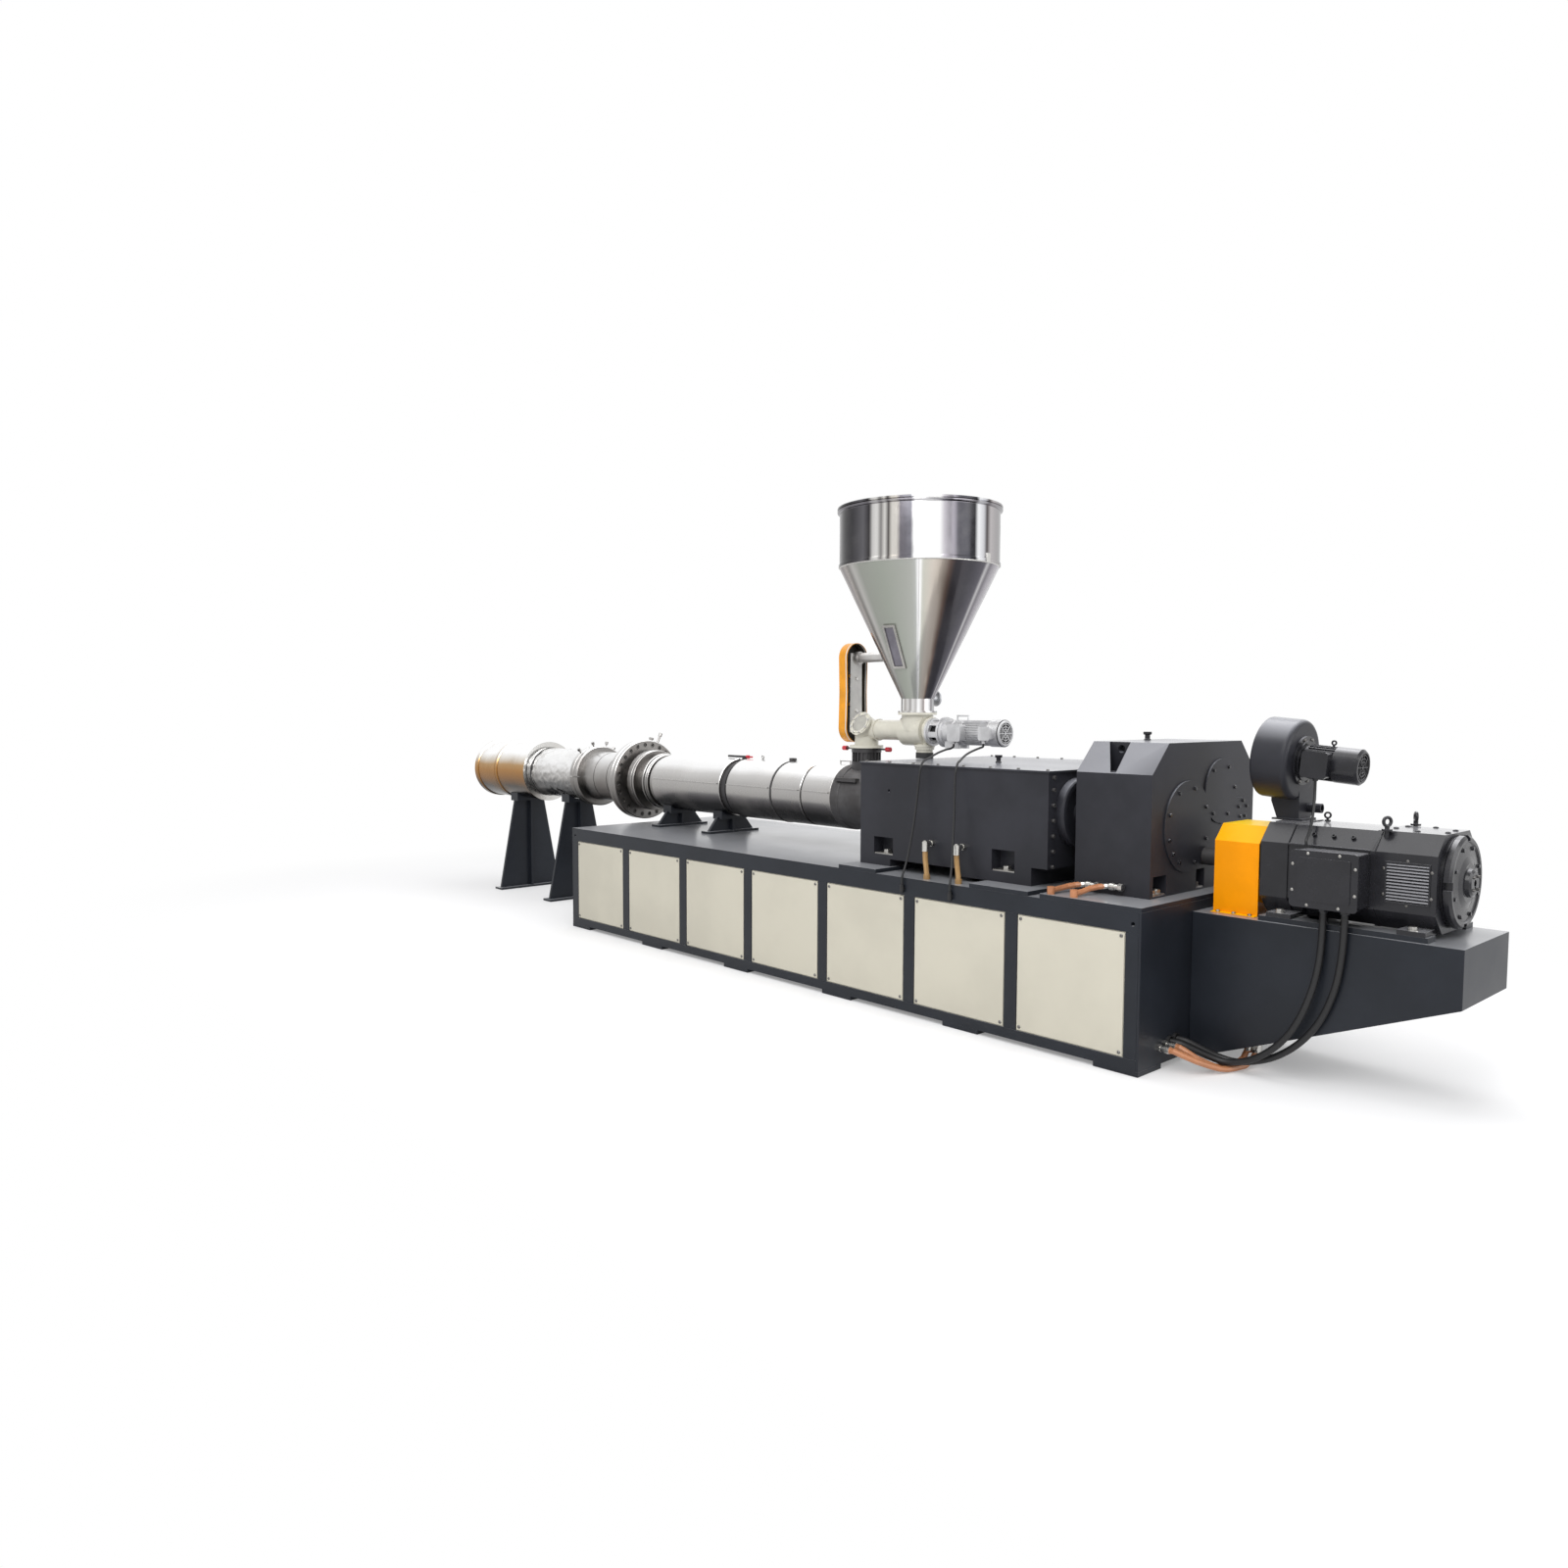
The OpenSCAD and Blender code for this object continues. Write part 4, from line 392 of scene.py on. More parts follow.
coverCladding = {
    "lineScale": 26, "lineStretch": (10, 1, 1), "lineDepth": 0.00012, "lineRough": 0.10, "dentScale": 2.2,
    "dentShade": 0.12, "dentDepth": 0.004, "smudge": 0.25, "smudgeEdges": (0.42, 0.75), "smudgeRough": 0.15,
    "smudgeColour": (0.50, 0.47, 0.44), "roughness": 0.24, "metallic": 1.0,
}
# painted light and shade: how far the sheet faces up, from 0 below to 1 above, then the colour
coverLightAndShade = [
    (0.0, 0.03, 0.03, 0.03), (0.22, 0.035, 0.034, 0.034), (0.33, 0.16, 0.15, 0.15), (0.44, 0.34, 0.33, 0.32),
    (0.62, 0.44, 0.43, 0.42), (0.75, 0.60, 0.59, 0.58), (0.85, 0.92, 0.92, 0.92), (1.0, 1.0, 1.0, 1.0)]
dieCladding = dict(coverCladding, lineStretch=(14, 1, 1), smudge=0.3, smudgeColour=(0.30, 0.17, 0.07),
                   dentDepth=0.001, roughness=0.22, endColour=(0.66, 0.65, 0.63), endFrom=-6310, faceOn=0.6,
                   rearEdges=(0.1, 0.4), rearShades=coverLightAndShade, tipColour=(0.34, 0.33, 0.32))
# painted light and shade of the die's sheet; the ochre in the middle is a painted reflection of orange surroundings
dieLightAndShade = [
    (0.0, 0.02, 0.018, 0.016), (0.22, 0.035, 0.026, 0.018), (0.34, 0.20, 0.10, 0.035), (0.50, 0.36, 0.18, 0.055),
    (0.60, 0.44, 0.27, 0.12), (0.68, 0.66, 0.60, 0.52), (0.80, 1.0, 1.0, 1.0)]
headCladding = dict(coverCladding, smudge=0.45, smudgeColour=(0.16, 0.14, 0.13), dentDepth=0.0015, roughness=0.30)
# painted light and shade of the pipe head's sheet
headLightAndShade = [
    (0.0, 0.03, 0.03, 0.03), (0.25, 0.05, 0.048, 0.045), (0.42, 0.20, 0.19, 0.18), (0.60, 0.37, 0.36, 0.35),
    (0.75, 0.58, 0.57, 0.56), (0.9, 0.85, 0.85, 0.85), (1.0, 0.9, 0.9, 0.9)]
foilCladding = dict(coverCladding, lineStretch=(3, 1, 1), smudge=0.22, smudgeColour=(0.30, 0.29, 0.28),
                    dentDepth=0.003, dentShade=0.05, roughness=0.22)
# painted light and shade of the foil
foilLightAndShade = [
    (0.0, 0.05, 0.05, 0.05), (0.30, 0.10, 0.10, 0.10), (0.44, 0.34, 0.33, 0.32), (0.56, 0.60, 0.59, 0.58),
    (0.72, 0.86, 0.86, 0.86), (1.0, 1.0, 1.0, 1.0)]


# two finishes on one casting, or three; mask(look) says where the second one is, thirdMask(look) the third
def twoFinishes(name, mask, first, second, thirdMask=None, third=None):
    look = Look(name)
    share = mask(look)
    grain = look.noise(first["grain"], 3)
    smudge = look.between(look.noise(8, 5, 0.6), 0.35, 0.75)

    def smudged(each):
        return look.mix(smudge, each["colour"], shaded(each["colour"], each["dark"]))

    tone = look.mix(share, smudged(first), smudged(second))
    rough, metal = [share * (second[key] - first[key]) + first[key] for key in ("roughness", "metallic")]
    if third:
        tone = look.mix(thirdMask(look), tone, smudged(third))
    return look.surface(Base_Color=tone, Roughness=rough + (grain - 0.5) * first["roughVary"], Metallic=metal,
                        Normal=look.bump(grain, first["depth"]))


def finish(colour, roughness=0.4, metallic=0.0, grain=160, depth=0.0002, dark=0.72):
    return {"colour": colour, "roughness": roughness, "metallic": metallic, "grain": grain, "depth": depth,
            "dark": dark, "roughVary": 0.12}


blackRubber = finish((0.016, 0.016, 0.017), 0.62)
redKnob = finish((0.50, 0.018, 0.035), 0.30)
plated = finish((0.62, 0.61, 0.58), 0.26, 1.0)
copperHose = finish((0.46, 0.19, 0.085), 0.38, grain=70, depth=0.0006)
ochreHose = finish((0.34, 0.20, 0.075), dark=0.8)
darkCasting = finish((0.060, 0.058, 0.060), 0.45, 0.7, depth=0.0004)
creamPaint = finish((0.60, 0.58, 0.50), 0.30, grain=240)
yellowPaint = finish((0.80, 0.32, 0.003), 0.33, grain=420, depth=0.0001)
# painted shade: near-black brown inside the chain case
caseInsideShade = finish((0.045, 0.038, 0.028), 0.5)
plateGrey = finish((0.60, 0.59, 0.57), dark=0.8)
silverPaint = finish((0.66, 0.66, 0.67), 0.36, 0.50, grain=220, depth=0.0003)
# painted shade: near-black in the openings of the lantern and the fan grille's recess
openingShade = finish((0.015, 0.015, 0.016), 0.7)
windowRim = finish((0.40, 0.39, 0.37), 0.25, 0.8)
glassInside = finish((0.17, 0.16, 0.19), 0.10, 0.35)

# where the second finishes are: x in mm from the drive end of the base, what ends in Y, Z or R in metres
places = {
    "gateKnobs": (-2560, -2216), "gateKnobsZ": 1.36, "valveKnob": -3568, "valveKnobZ": 1.27,
    "boxPipes": -700, "boxUnionsZ": 0.885, "gearUnionsY": -0.545,
    "basePipesZ": 0.5, "baseUnions": (66, 240), "baseUnionsZ": 0.070,
    "caseEndsZ": (1.521, 1.965), "caseInside": (-2535, -2474), "casePlate": (-2489, -2480), "plateHoleR": 0.0545,
    "lantern": (-1830, -1745), "lanternZ": 1.504, "lanternR": 0.052, "grille": (-1311, -1306),
    "legFootZ": 1.379, "paneTurn": 277, "paneHalfR": 0.031, "paneZ": (1.894, 2.116),
}


# mask of the stretch along x that a key names
def along(look, key):
    low, high = places[key]
    return look.span(look.axes()[0], placeX(low), placeX(high))


def knobsOnGate(look):
    x, y, z = look.axes()
    low, high = places["gateKnobs"]
    return look.most(look.step(x, placeX(high)), look.under(x, placeX(low))) * look.step(z, places["gateKnobsZ"])


def knobOnValve(look):
    x, y, z = look.axes()
    return look.step(x, placeX(places["valveKnob"])) * look.step(z, places["valveKnobZ"])


def platedUnions(look):
    x, y, z = look.axes()
    border = placeX(places["boxPipes"])
    onBox = look.under(x, border) * look.step(z, places["boxUnionsZ"])
    onGear = look.step(x, border) * look.step(z, places["basePipesZ"]) * look.step(y, places["gearUnionsY"])
    low, high = places["baseUnions"]
    ends = look.most(look.under(x, placeX(low)), look.step(z, places["baseUnionsZ"]) * look.step(x, placeX(high)))
    return look.most(look.most(onBox, onGear), look.under(z, places["basePipesZ"]) * ends)


def boxHoses(look):
    return look.under(look.axes()[0], placeX(places["boxPipes"])) * (1.0 - platedUnions(look))


def chainPlate(look):
    return along(look, "casePlate")


# painted shade: where the inside of the chain case is darkened, its inward faces, its floor and the hole round the
# plate
def caseInside(look):
    x, y, z = look.axes()
    low, high = places["caseEndsZ"]  # centres of the round ends
    dz = z - look.least(look.most(z, low), high)
    side, across, up = look.facing()
    inwards = look.under(across * y + up * dz, -0.0004, 0.0003)
    back, front = places["caseInside"]
    floor = look.step(side, 0.5) * look.under(x, placeX(back))
    inside = look.most(inwards * look.under(x, placeX(front)), floor)
    return look.most(inside, chainPlate(look) * look.under(look.apart(y, dz), places["plateHoleR"]))


# painted shade: the lantern's openings and the fan grille's recess
def lanternWindows(look):
    x, y, z = look.axes()
    near = look.under(look.apart(y, z - places["lanternZ"]), places["lanternR"])
    return look.most(near * along(look, "lantern"), along(look, "grille"))


def legFoot(look):
    return look.under(look.axes()[2], places["legFootZ"])


def glassPane(look):
    x, y, z = look.axes()
    turn = math.radians(places["paneTurn"])
    across = (x - placeX(hopper["x"])) * -math.sin(turn) + y * math.cos(turn)
    return look.under(look.absolute(across), places["paneHalfR"]) * look.span(z, *places["paneZ"])


# each look, and the nodes of the frame that wear it
lookTable = {
    "frameGrey": (enamel, (0.013, 0.0155, 0.021), frameEnamel, [
        "base_rails", "base_posts", "base_cross_members", "base_end_plates", "base_deck", "base_feet",
        "barrel_supports", "head_stand", "motor_base"]),
    "boxGrey": (enamel, (0.021, 0.0215, 0.027), castEnamel, [
        "gearbox_housing", "bearing_covers", "distribution_box", "distribution_cover", "fan_housing"]),
    "motorBlack": (enamel, (0.013, 0.013, 0.016), glossEnamel, [
        "motor_frame", "motor_end_cover", "motor_terminal_box", "motor_lifting_eyes", "fan_motor",
        "box_breathers"]),
    "panelCream": (enamel, (0.51, 0.485, 0.405), creamEnamel, ["front_panels", "rear_panels"]),
    "guardYellow": (enamel, (0.86, 0.30, 0.002), yellowEnamel, ["coupling_guard"]),
    "feederCream": (enamel, (0.60, 0.58, 0.50), feederEnamel, ["feeder_tube", "feeder_sight_port"]),
    "hopperCylinder": (paintedReflectionSheet, hopper["cylinderBands"], 1.0, hopper, ["hopper_shell"]),
    "hopperCone": (paintedReflectionSheet, hopper["coneBands"], hopper["coneMetal"], hopper, ["hopper_cone"]),
    "coverSteel": (clad, coverLightAndShade, coverCladding, ["heater_covers", "head_wraps"]),
    "dieSteel": (clad, dieLightAndShade, dieCladding, ["die_barrel", "die_core"]),
    "headSteel": (clad, headLightAndShade, headCladding, ["barrel_adapter", "head_flange", "head_body", "head_clamp_ring"]),
    "foilBright": (clad, foilLightAndShade, foilCladding, []),
    "throatIron": (twoFinishes, knobsOnGate, darkCasting, redKnob, ["throat_block"]),
    "valveIron": (twoFinishes, knobOnValve, darkCasting, redKnob, ["vacuum_vent"]),
    "pipesAndUnions": (twoFinishes, platedUnions, copperHose, plated, boxHoses, ochreHose, ["oil_pipes"]),
    "chainCase": (twoFinishes, caseInside, yellowPaint, caseInsideShade, chainPlate, plateGrey, ["chain_guard"]),
    "gearmotorSilver": (twoFinishes, lanternWindows, silverPaint, openingShade, ["feeder_gearmotor"]),
    "legCream": (twoFinishes, legFoot, creamPaint, blackRubber, ["feeder_leg"]),
    "windowFrame": (twoFinishes, glassPane, windowRim, glassInside, ["hopper_sight_glass"]),
    "platedSteel": (bareMetal, (0.62, 0.61, 0.59), platedSheet, []),
    "turnedSteel": (bareMetal, (0.58, 0.57, 0.56), steelTurned, ["barrel", "agitator_tube"]),
    "darkSteel": (bareMetal, (0.10, 0.098, 0.10), heatDark, ["feed_section", "cover_bands", "shaft_couplings"]),
    "boltSteel": (bareMetal, (0.19, 0.185, 0.18), boltFinish, []),
    "sillSteel": (bareMetal, (0.42, 0.41, 0.39), boltFinish, []),
    "alloy": (bareMetal, (0.60, 0.61, 0.63), alloyPaint, []),
    "rubberBlack": (plainLook, (0.010, 0.010, 0.011), cableRubber, ["cable_glands"]),
    "paneGrey": (plainLook, (0.42, 0.41, 0.37), paneFinish, []),
}
looks = {}

# finishes, and a small bevel (mm) on the plate work so that its edges catch the light
edges = {
    "base_rails": 2.5, "base_posts": 2.0, "base_end_plates": 1.5, "base_deck": 2.0, "motor_base": 3.0,
    "motor_frame": 3.0, "gearbox_housing": 4.0, "distribution_box": 4.0, "distribution_cover": 2.5,
    "bearing_covers": 1.5, "front_panels": 2.0, "rear_panels": 2.0, "motor_terminal_box": 2.0,
}
edgeSettings = {"merge": 0.00002, "segments": 2, "angle": 40}
for lookName, (make, *given, names) in lookTable.items():
    looks[lookName] = make(lookName, *given)
    for name in names:
        node = nodes[name]
        node.data.materials.clear()
        node.data.materials.append(looks[lookName])
        if name in edges:
            joined = node.modifiers.new("joined", "WELD")
            joined.merge_threshold = edgeSettings["merge"]
            softened = node.modifiers.new("softened", "BEVEL")
            softened.width = edges[name] / 1000
            softened.segments = edgeSettings["segments"]
            softened.limit_method = "ANGLE"
            softened.angle_limit = math.radians(edgeSettings["angle"])
            softened.harden_normals = True
print("finishes made")


# cables, on the routes of the source: millimetres, with x from the drive end of the base
cableRoutes = {
    "motor_cable_1": [
        (605, -300, 776), (605, -300, 735), (604, -303, 660), (600, -310, 570), (588, -320, 480),
        (568, -332, 395), (538, -342, 310), (496, -348, 232), (440, -352, 162), (372, -354, 104),
        (300, -356, 66), (220, -364, 46), (158, -388, 60), (104, -430, 88), (56, -460, 110), (0, -472, 117)],
    "motor_cable_2": [
        (695, -302, 776), (695, -302, 735), (693, -302, 660), (686, -303, 570), (672, -304, 480),
        (648, -306, 395), (612, -308, 310), (562, -310, 232), (498, -312, 162), (420, -314, 104),
        (336, -316, 66), (250, -322, 46), (176, -340, 56), (112, -378, 86), (56, -406, 112), (0, -416, 119)],
    "fan_cable": [
        (470, -100, 1328), (470, -100, 1300), (472, -106, 1262), (476, -120, 1222), (482, -142, 1182),
        (490, -172, 1144), (498, -206, 1116), (506, -242, 1096), (512, -272, 1078), (512, -272, 1046)],
    "feeder_cable_1": [
        (-1600, -96, 1440), (-1600, -98, 1424), (-1596, -125, 1414), (-1582, -180, 1410), (-1558, -245, 1404),
        (-1528, -315, 1397), (-1492, -390, 1389), (-1455, -465, 1380), (-1418, -540, 1371), (-1396, -596, 1362),
        (-1388, -624, 1338), (-1390, -634, 1290), (-1395, -642, 1200), (-1400, -655, 1080), (-1404, -680, 950),
        (-1407, -708, 840), (-1408, -735, 775), (-1408, -747, 745), (-1408, -747, 705)],
    "feeder_cable_2": [
        (-1385, -96, 1446), (-1385, -98, 1430), (-1378, -130, 1424), (-1360, -190, 1417), (-1334, -260, 1409),
        (-1300, -335, 1401), (-1262, -410, 1392), (-1220, -485, 1382), (-1182, -550, 1371), (-1158, -598, 1362),
        (-1146, -626, 1336), (-1146, -636, 1285), (-1140, -645, 1190), (-1130, -660, 1065), (-1116, -684, 940),
        (-1100, -710, 835), (-1086, -736, 772), (-1080, -747, 745), (-1080, -747, 705)],
}
cableSettings = {
    "thick": 0.030, "thin": 0.012,
    "thickOnes": ["motor_cable_1", "motor_cable_2"],
    "stepsBetween": 5,
}


# smooth line through route points (Catmull-Rom)
def smoothLine(points, steps):
    ends = [2 * points[0] - points[1]] + points + [2 * points[-1] - points[-2]]
    line = []
    for a, b, c, d in zip(ends, ends[1:], ends[2:], ends[3:]):
        for i in range(steps):
            t = i / steps
            line.append(0.5 * (2 * b + (c - a) * t + (2 * a - 5 * b + 4 * c - d) * t ** 2
                               + (3 * b - a - 3 * c + d) * t ** 3))
    return line + [points[-1]]


def lineLength(line):
    return sum((b - a).length for a, b in zip(line, line[1:]))


def tubeCurve(name, line, radius, look, sides=6):
    data = bpy.data.curves.new(name, "CURVE")
    data.dimensions = "3D"
    data.bevel_depth = radius
    data.bevel_resolution = sides
    data.use_fill_caps = True
    spline = data.splines.new("POLY")
    spline.points.add(len(line) - 1)
    for point, place in zip(spline.points, line):
        point.co = (*place, 1)
    data.materials.append(looks[look])
    return addObject(name, data)


def makeCables(spec):
    for node, route in cableRoutes.items():
        wide = spec["thick"] if node in spec["thickOnes"] else spec["thin"]
        line = smoothLine([at(*place) for place in route], spec["stepsBetween"])
        cable = tubeCurve(node + "_jacket", line, wide / 2, "rubberBlack")
        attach(cable, "root")
        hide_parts(node)
        lineLength(line)


makeCables(cableSettings)
print("cables laid")


# small turned and pressed parts, gathered group by group in one mesh
class Parts:
    sharpFrom = math.radians(32)  # edges as sharp as this stay crisp
    softBy = 0.001  # metres, on the edges of plates

    def __init__(self):
        self.mesh = bmesh.new()

    # rings of (radius, height) round the place's own z; a third value makes the ring six-sided
    def lathe(self, place, profile, sides=24):
        rings = []
        for radius, height, *hexagon in profile:
            ring = []
            for i in range(sides if radius > 0 else 1):
                turn = math.tau * i / sides
                reach = radius
                if hexagon:
                    reach *= math.cos(math.pi / 6) / math.cos(turn % (math.pi / 3) - math.pi / 6)
                corner = Vector((reach * math.cos(turn), reach * math.sin(turn), height))
                ring.append(self.mesh.verts.new(place @ corner))
            rings.append(ring)
        for low, high in zip(rings, rings[1:]):
            for i in range(sides):
                j = (i + 1) % sides
                corners = [low[i % len(low)], low[j % len(low)], high[j % len(high)], high[i % len(high)]]
                corners = list(dict.fromkeys(corners))
                if len(corners) > 2:
                    self.mesh.faces.new(corners)

    # plate with softened edges; size in metres
    def plate(self, place, size):
        made = bmesh.ops.create_cube(self.mesh, size=1, matrix=place @ Matrix.Diagonal((*size, 1)))
        lines = {line for vert in made["verts"] for line in vert.link_edges}
        bmesh.ops.bevel(self.mesh, geom=list(lines), offset=self.softBy, segments=2, profile=0.5, affect="EDGES")

    def finish(self, name, look, slot):
        bmesh.ops.recalc_face_normals(self.mesh, faces=self.mesh.faces)
        for face in self.mesh.faces:
            face.smooth = True
        for line in self.mesh.edges:
            line.smooth = line.calc_face_angle(0) < self.sharpFrom
        data = bpy.data.meshes.new(name)
        self.mesh.to_mesh(data)
        self.mesh.free()
        data.materials.append(looks[look])
        piece = addObject(name, data)
        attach(piece, "root")


# a frame at a place with its z outward, turned about it
def standing(place, outward, turn=0.0):
    return (Matrix.Translation(place) @ Vector(outward).to_track_quat("Z", "Y").to_matrix().to_4x4()
            @ Matrix.Rotation(turn, 4, "Z"))


# where a node's surface is, looking at it against the outward direction: millimetres in, metres out
surfaces = {}
seatSettings = {"reach": 0.060, "deeper": 0.060, "offBy": 0.05}


def seat(node, spot, outward):
    if node not in surfaces:
        data = nodes[node].data
        surfaces[node] = BVHTree.FromPolygons([v.co for v in data.vertices], [p.vertices for p in data.polygons])
    out = Vector(outward).normalized()
    start = at(*spot) + out * seatSettings["reach"]
    hit = surfaces[node].ray_cast(start, -out, seatSettings["reach"] + seatSettings["deeper"])[0]
    if hit is None or (hit - at(*spot)).length > seatSettings["offBy"]:
        print("no seat on", node, "at", spot)
        return None
    return hit


# one head of each kind, in bolt diameters: radius, height and whether the ring is six-sided
heads = {
    "hex": [(0, -0.05), (1.06, -0.05), (1.06, 0.12), (0.99, 0.17), (0.93, 0.17, 6), (0.93, 0.70, 6), (0.80, 0.82),
            (0, 0.84)],
    "socket": [(0, -0.05), (0.78, -0.05), (0.78, 0.88), (0.70, 1.0), (0.46, 1.0, 6), (0.44, 0.45, 6), (0, 0.42)],
    "screw": [(0, -0.05), (0.98, -0.05), (0.94, 0.20), (0.70, 0.46), (0.38, 0.55, 6), (0.36, 0.26, 6), (0, 0.24)],
    "flush": [(0, -0.05), (1.0, -0.05), (1.0, 0.02), (0.93, 0.045), (0.42, 0.045, 6), (0.40, 0.012, 6), (0, 0.012)],
}


# the slot of each finish that fasteners have
slotOf = {"boltSteel": "dark_steel", "darkSteel": "dark_steel", "motorBlack": "motor_paint",
          "sillSteel": "bright_stainless", "platedSteel": "bright_stainless"}


def headProfile(kind, diameter):
    return [(radius * diameter / 1000, height * diameter / 1000, *six) for radius, height, *six in heads[kind]]


def fasten(name, node, kind, diameter, look, spots):
    parts = Parts()
    spin = random.Random(name)
    for spot, outward in spots:
        place = seat(node, spot, outward)
        if place is not None:
            parts.lathe(standing(place, outward, spin.uniform(0, math.tau)), headProfile(kind, diameter))
    parts.finish(name, look, slotOf[look])


def oneWay(outward, spots):
    return [(spot, outward) for spot in spots]


# the same spots and directions on both long sides
def bothSides(outward, spots):
    return [((x, s * y, z), (outward[0], s * outward[1], outward[2])) for x, y, z in spots for s in (-1, 1)]


# spots round a centre; the last two are the directions at 0 and at 90 degrees
def ringSpots(centre, radius, angles, outward=(1, 0, 0), first=(0, 1, 0), second=(0, 0, 1)):
    return [(tuple(c + radius * (math.cos(turn) * a + math.sin(turn) * b) for c, a, b in zip(centre, first, second)),
             outward) for turn in map(math.radians, angles)]


# screws that hold the side panels, in mm
panelScrews = {"bays": 7, "firstX": -77, "width": 590, "post": 73, "low": 73, "high": 649, "faceY": 736, "inset": 21}


def panelSpots(spec, side):
    width, inset = spec["width"], spec["inset"]
    lefts = [spec["firstX"] - width * (bay + 1) - spec["post"] * bay for bay in range(spec["bays"])]
    return oneWay((0, side, 0), [(x, side * spec["faceY"], z) for left in lefts
                                 for x in (left + inset, left + width - inset)
                                 for z in (spec["low"] + inset, spec["high"] - inset)])


# each group: the node it sits on, kind of head, diameter, look, then the spots with their directions; in mm
flangeTurns = range(4, 364, 15)
fasteners = {
    "front_panels_screws": ("front_panels", "screw", 9, "boltSteel", panelSpots(panelScrews, -1)),
    "rear_panels_screws": ("rear_panels", "flush", 9, "boltSteel", panelSpots(panelScrews, 1)),
    "motor_chamfer_bolts": ("motor_frame", "socket", 12, "motorBlack", bothSides(
        (0, 1, 1), [(x, 180, 1097) for x in (507, 590, 672)])),
    "motor_top_screws": ("motor_frame", "screw", 12, "motorBlack", oneWay((0, 0, 1), [
        (x, y, 1135) for x, y in ((786, -20), (793, 96), (896, -92), (893, 132), (993, 60), (1002, -60))])),
    "terminal_lid_screws": ("motor_terminal_box", "screw", 7, "sillSteel", oneWay((0, -1, 0), [
        (x, -373, z) for x, z in ((562, 1034), (693, 1034), (562, 812), (693, 812),
                                  (498, 984), (498, 872), (757, 984), (757, 872))])),
    "louvre_screws": ("motor_frame", "screw", 7, "boltSteel", bothSides((0, 1, 0), [
        (x, 225, z) for x, z in ((816, 984), (816, 876), (1002, 984), (1002, 876), (908, 1022), (908, 838))])),
    "motor_foot_bolts": ("motor_frame", "hex", 20, "sillSteel", bothSides(
        (0, 0, 1), [(x, 250, 743) for x in (398, 946)])),
    "end_cover_bolts": ("motor_end_cover", "hex", 10, "motorBlack", ringSpots(
        (1063, 0, 929), 150, range(22, 360, 45))),
    "end_hub_bolts": ("motor_end_cover", "socket", 8, "boltSteel", ringSpots(
        (1093, 0, 929), 38, range(45, 360, 90))),
    "guard_foot_bolts": ("coupling_guard", "hex", 10, "sillSteel", bothSides(
        (0, 0, 1), [(x, 214, 702) for x in (90, 166, 242)])),
    "bearing_cover_bolts": ("bearing_covers", "hex", 10, "motorBlack",
                            ringSpots((-88, -175, 1084), 188, (27, 73, 120, 160, 197, 221, 243, 289, 338))
                            + ringSpots((-88, 145, 1240), 135, (6, 60, 129, 233, 300))
                            + ringSpots((-88, 372, 1137), 44, (20, 90, 160, 235, 305))),
    "box_corner_bolts": ("distribution_box", "socket", 13, "darkSteel", bothSides(
        (1, 0, 0), [(-600, 552, z) for z in (869, 945, 1021, 1097, 1173, 1249, 1310)])),
    "box_lid_bolts": ("distribution_cover", "hex", 9, "boltSteel", bothSides(
        (0, 0, 1), [(x, 574, 1343) for x in range(-1836, -617, 174)])),
    "head_flange_bolts": ("head_flange", "socket", 19, "boltSteel", ringSpots(
        (-4818, 0, 1073), 275, flangeTurns, (1, 0, 0), (0, 0, 1), (0, -1, 0))),
    "head_flange_nuts": ("head_flange", "hex", 15, "boltSteel", ringSpots(
        (-4882, 0, 1073), 275, flangeTurns, (-1, 0, 0), (0, 0, 1), (0, -1, 0))),
    "sight_port_bolts": ("feeder_sight_port", "hex", 8, "platedSteel", ringSpots(
        (-2373, -78.408, 1549.952), 67, range(22, 360, 45), (0, -0.891, 0.454), (1, 0, 0), (0, 0.454, 0.891))),
    "tee_flange_bolts": ("feeder_tube", "hex", 9, "platedSteel", ringSpots(
        (-1963, 0, 1620), 109, range(15, 360, 30), (0, 0, 1), (1, 0, 0), (0, 1, 0))),
    "fan_flange_bolts": ("fan_motor", "hex", 8, "boltSteel", ringSpots(
        (381.9543, 0, 1411.9541), 102.5, range(22, 360, 45),
        (0.9961947, 0, -0.0871557), (0, 1, 0), (0.0871557, 0, 0.9961947))),
    "chain_plate_bolts": ("chain_guard", "hex", 12, "platedSteel", oneWay(
        (1, 0, 0), [(-2482, 0, 1629), (-2482, 0, 1833)])),
}
for name, group in fasteners.items():
    fasten(name, *group)

# sills under the feet of both boxes, with their bolts; in mm
footSills = {
    "gearX": -131, "gearFloor": 773, "gearLength": 62, "gearFeet": [(-416, 119), (-33, 81), (350, 119)],  # y, width
    "boxY": 554, "boxWidth": 66, "boxFeet": [(-1690, 143, 828), (-866, 143, 820)],  # x, length and floor
    "thick": 7, "free": 8, "bolt": 24, "boltTurn": 0.3, "twoBoltsFrom": 100, "boltsApart": 48,
}


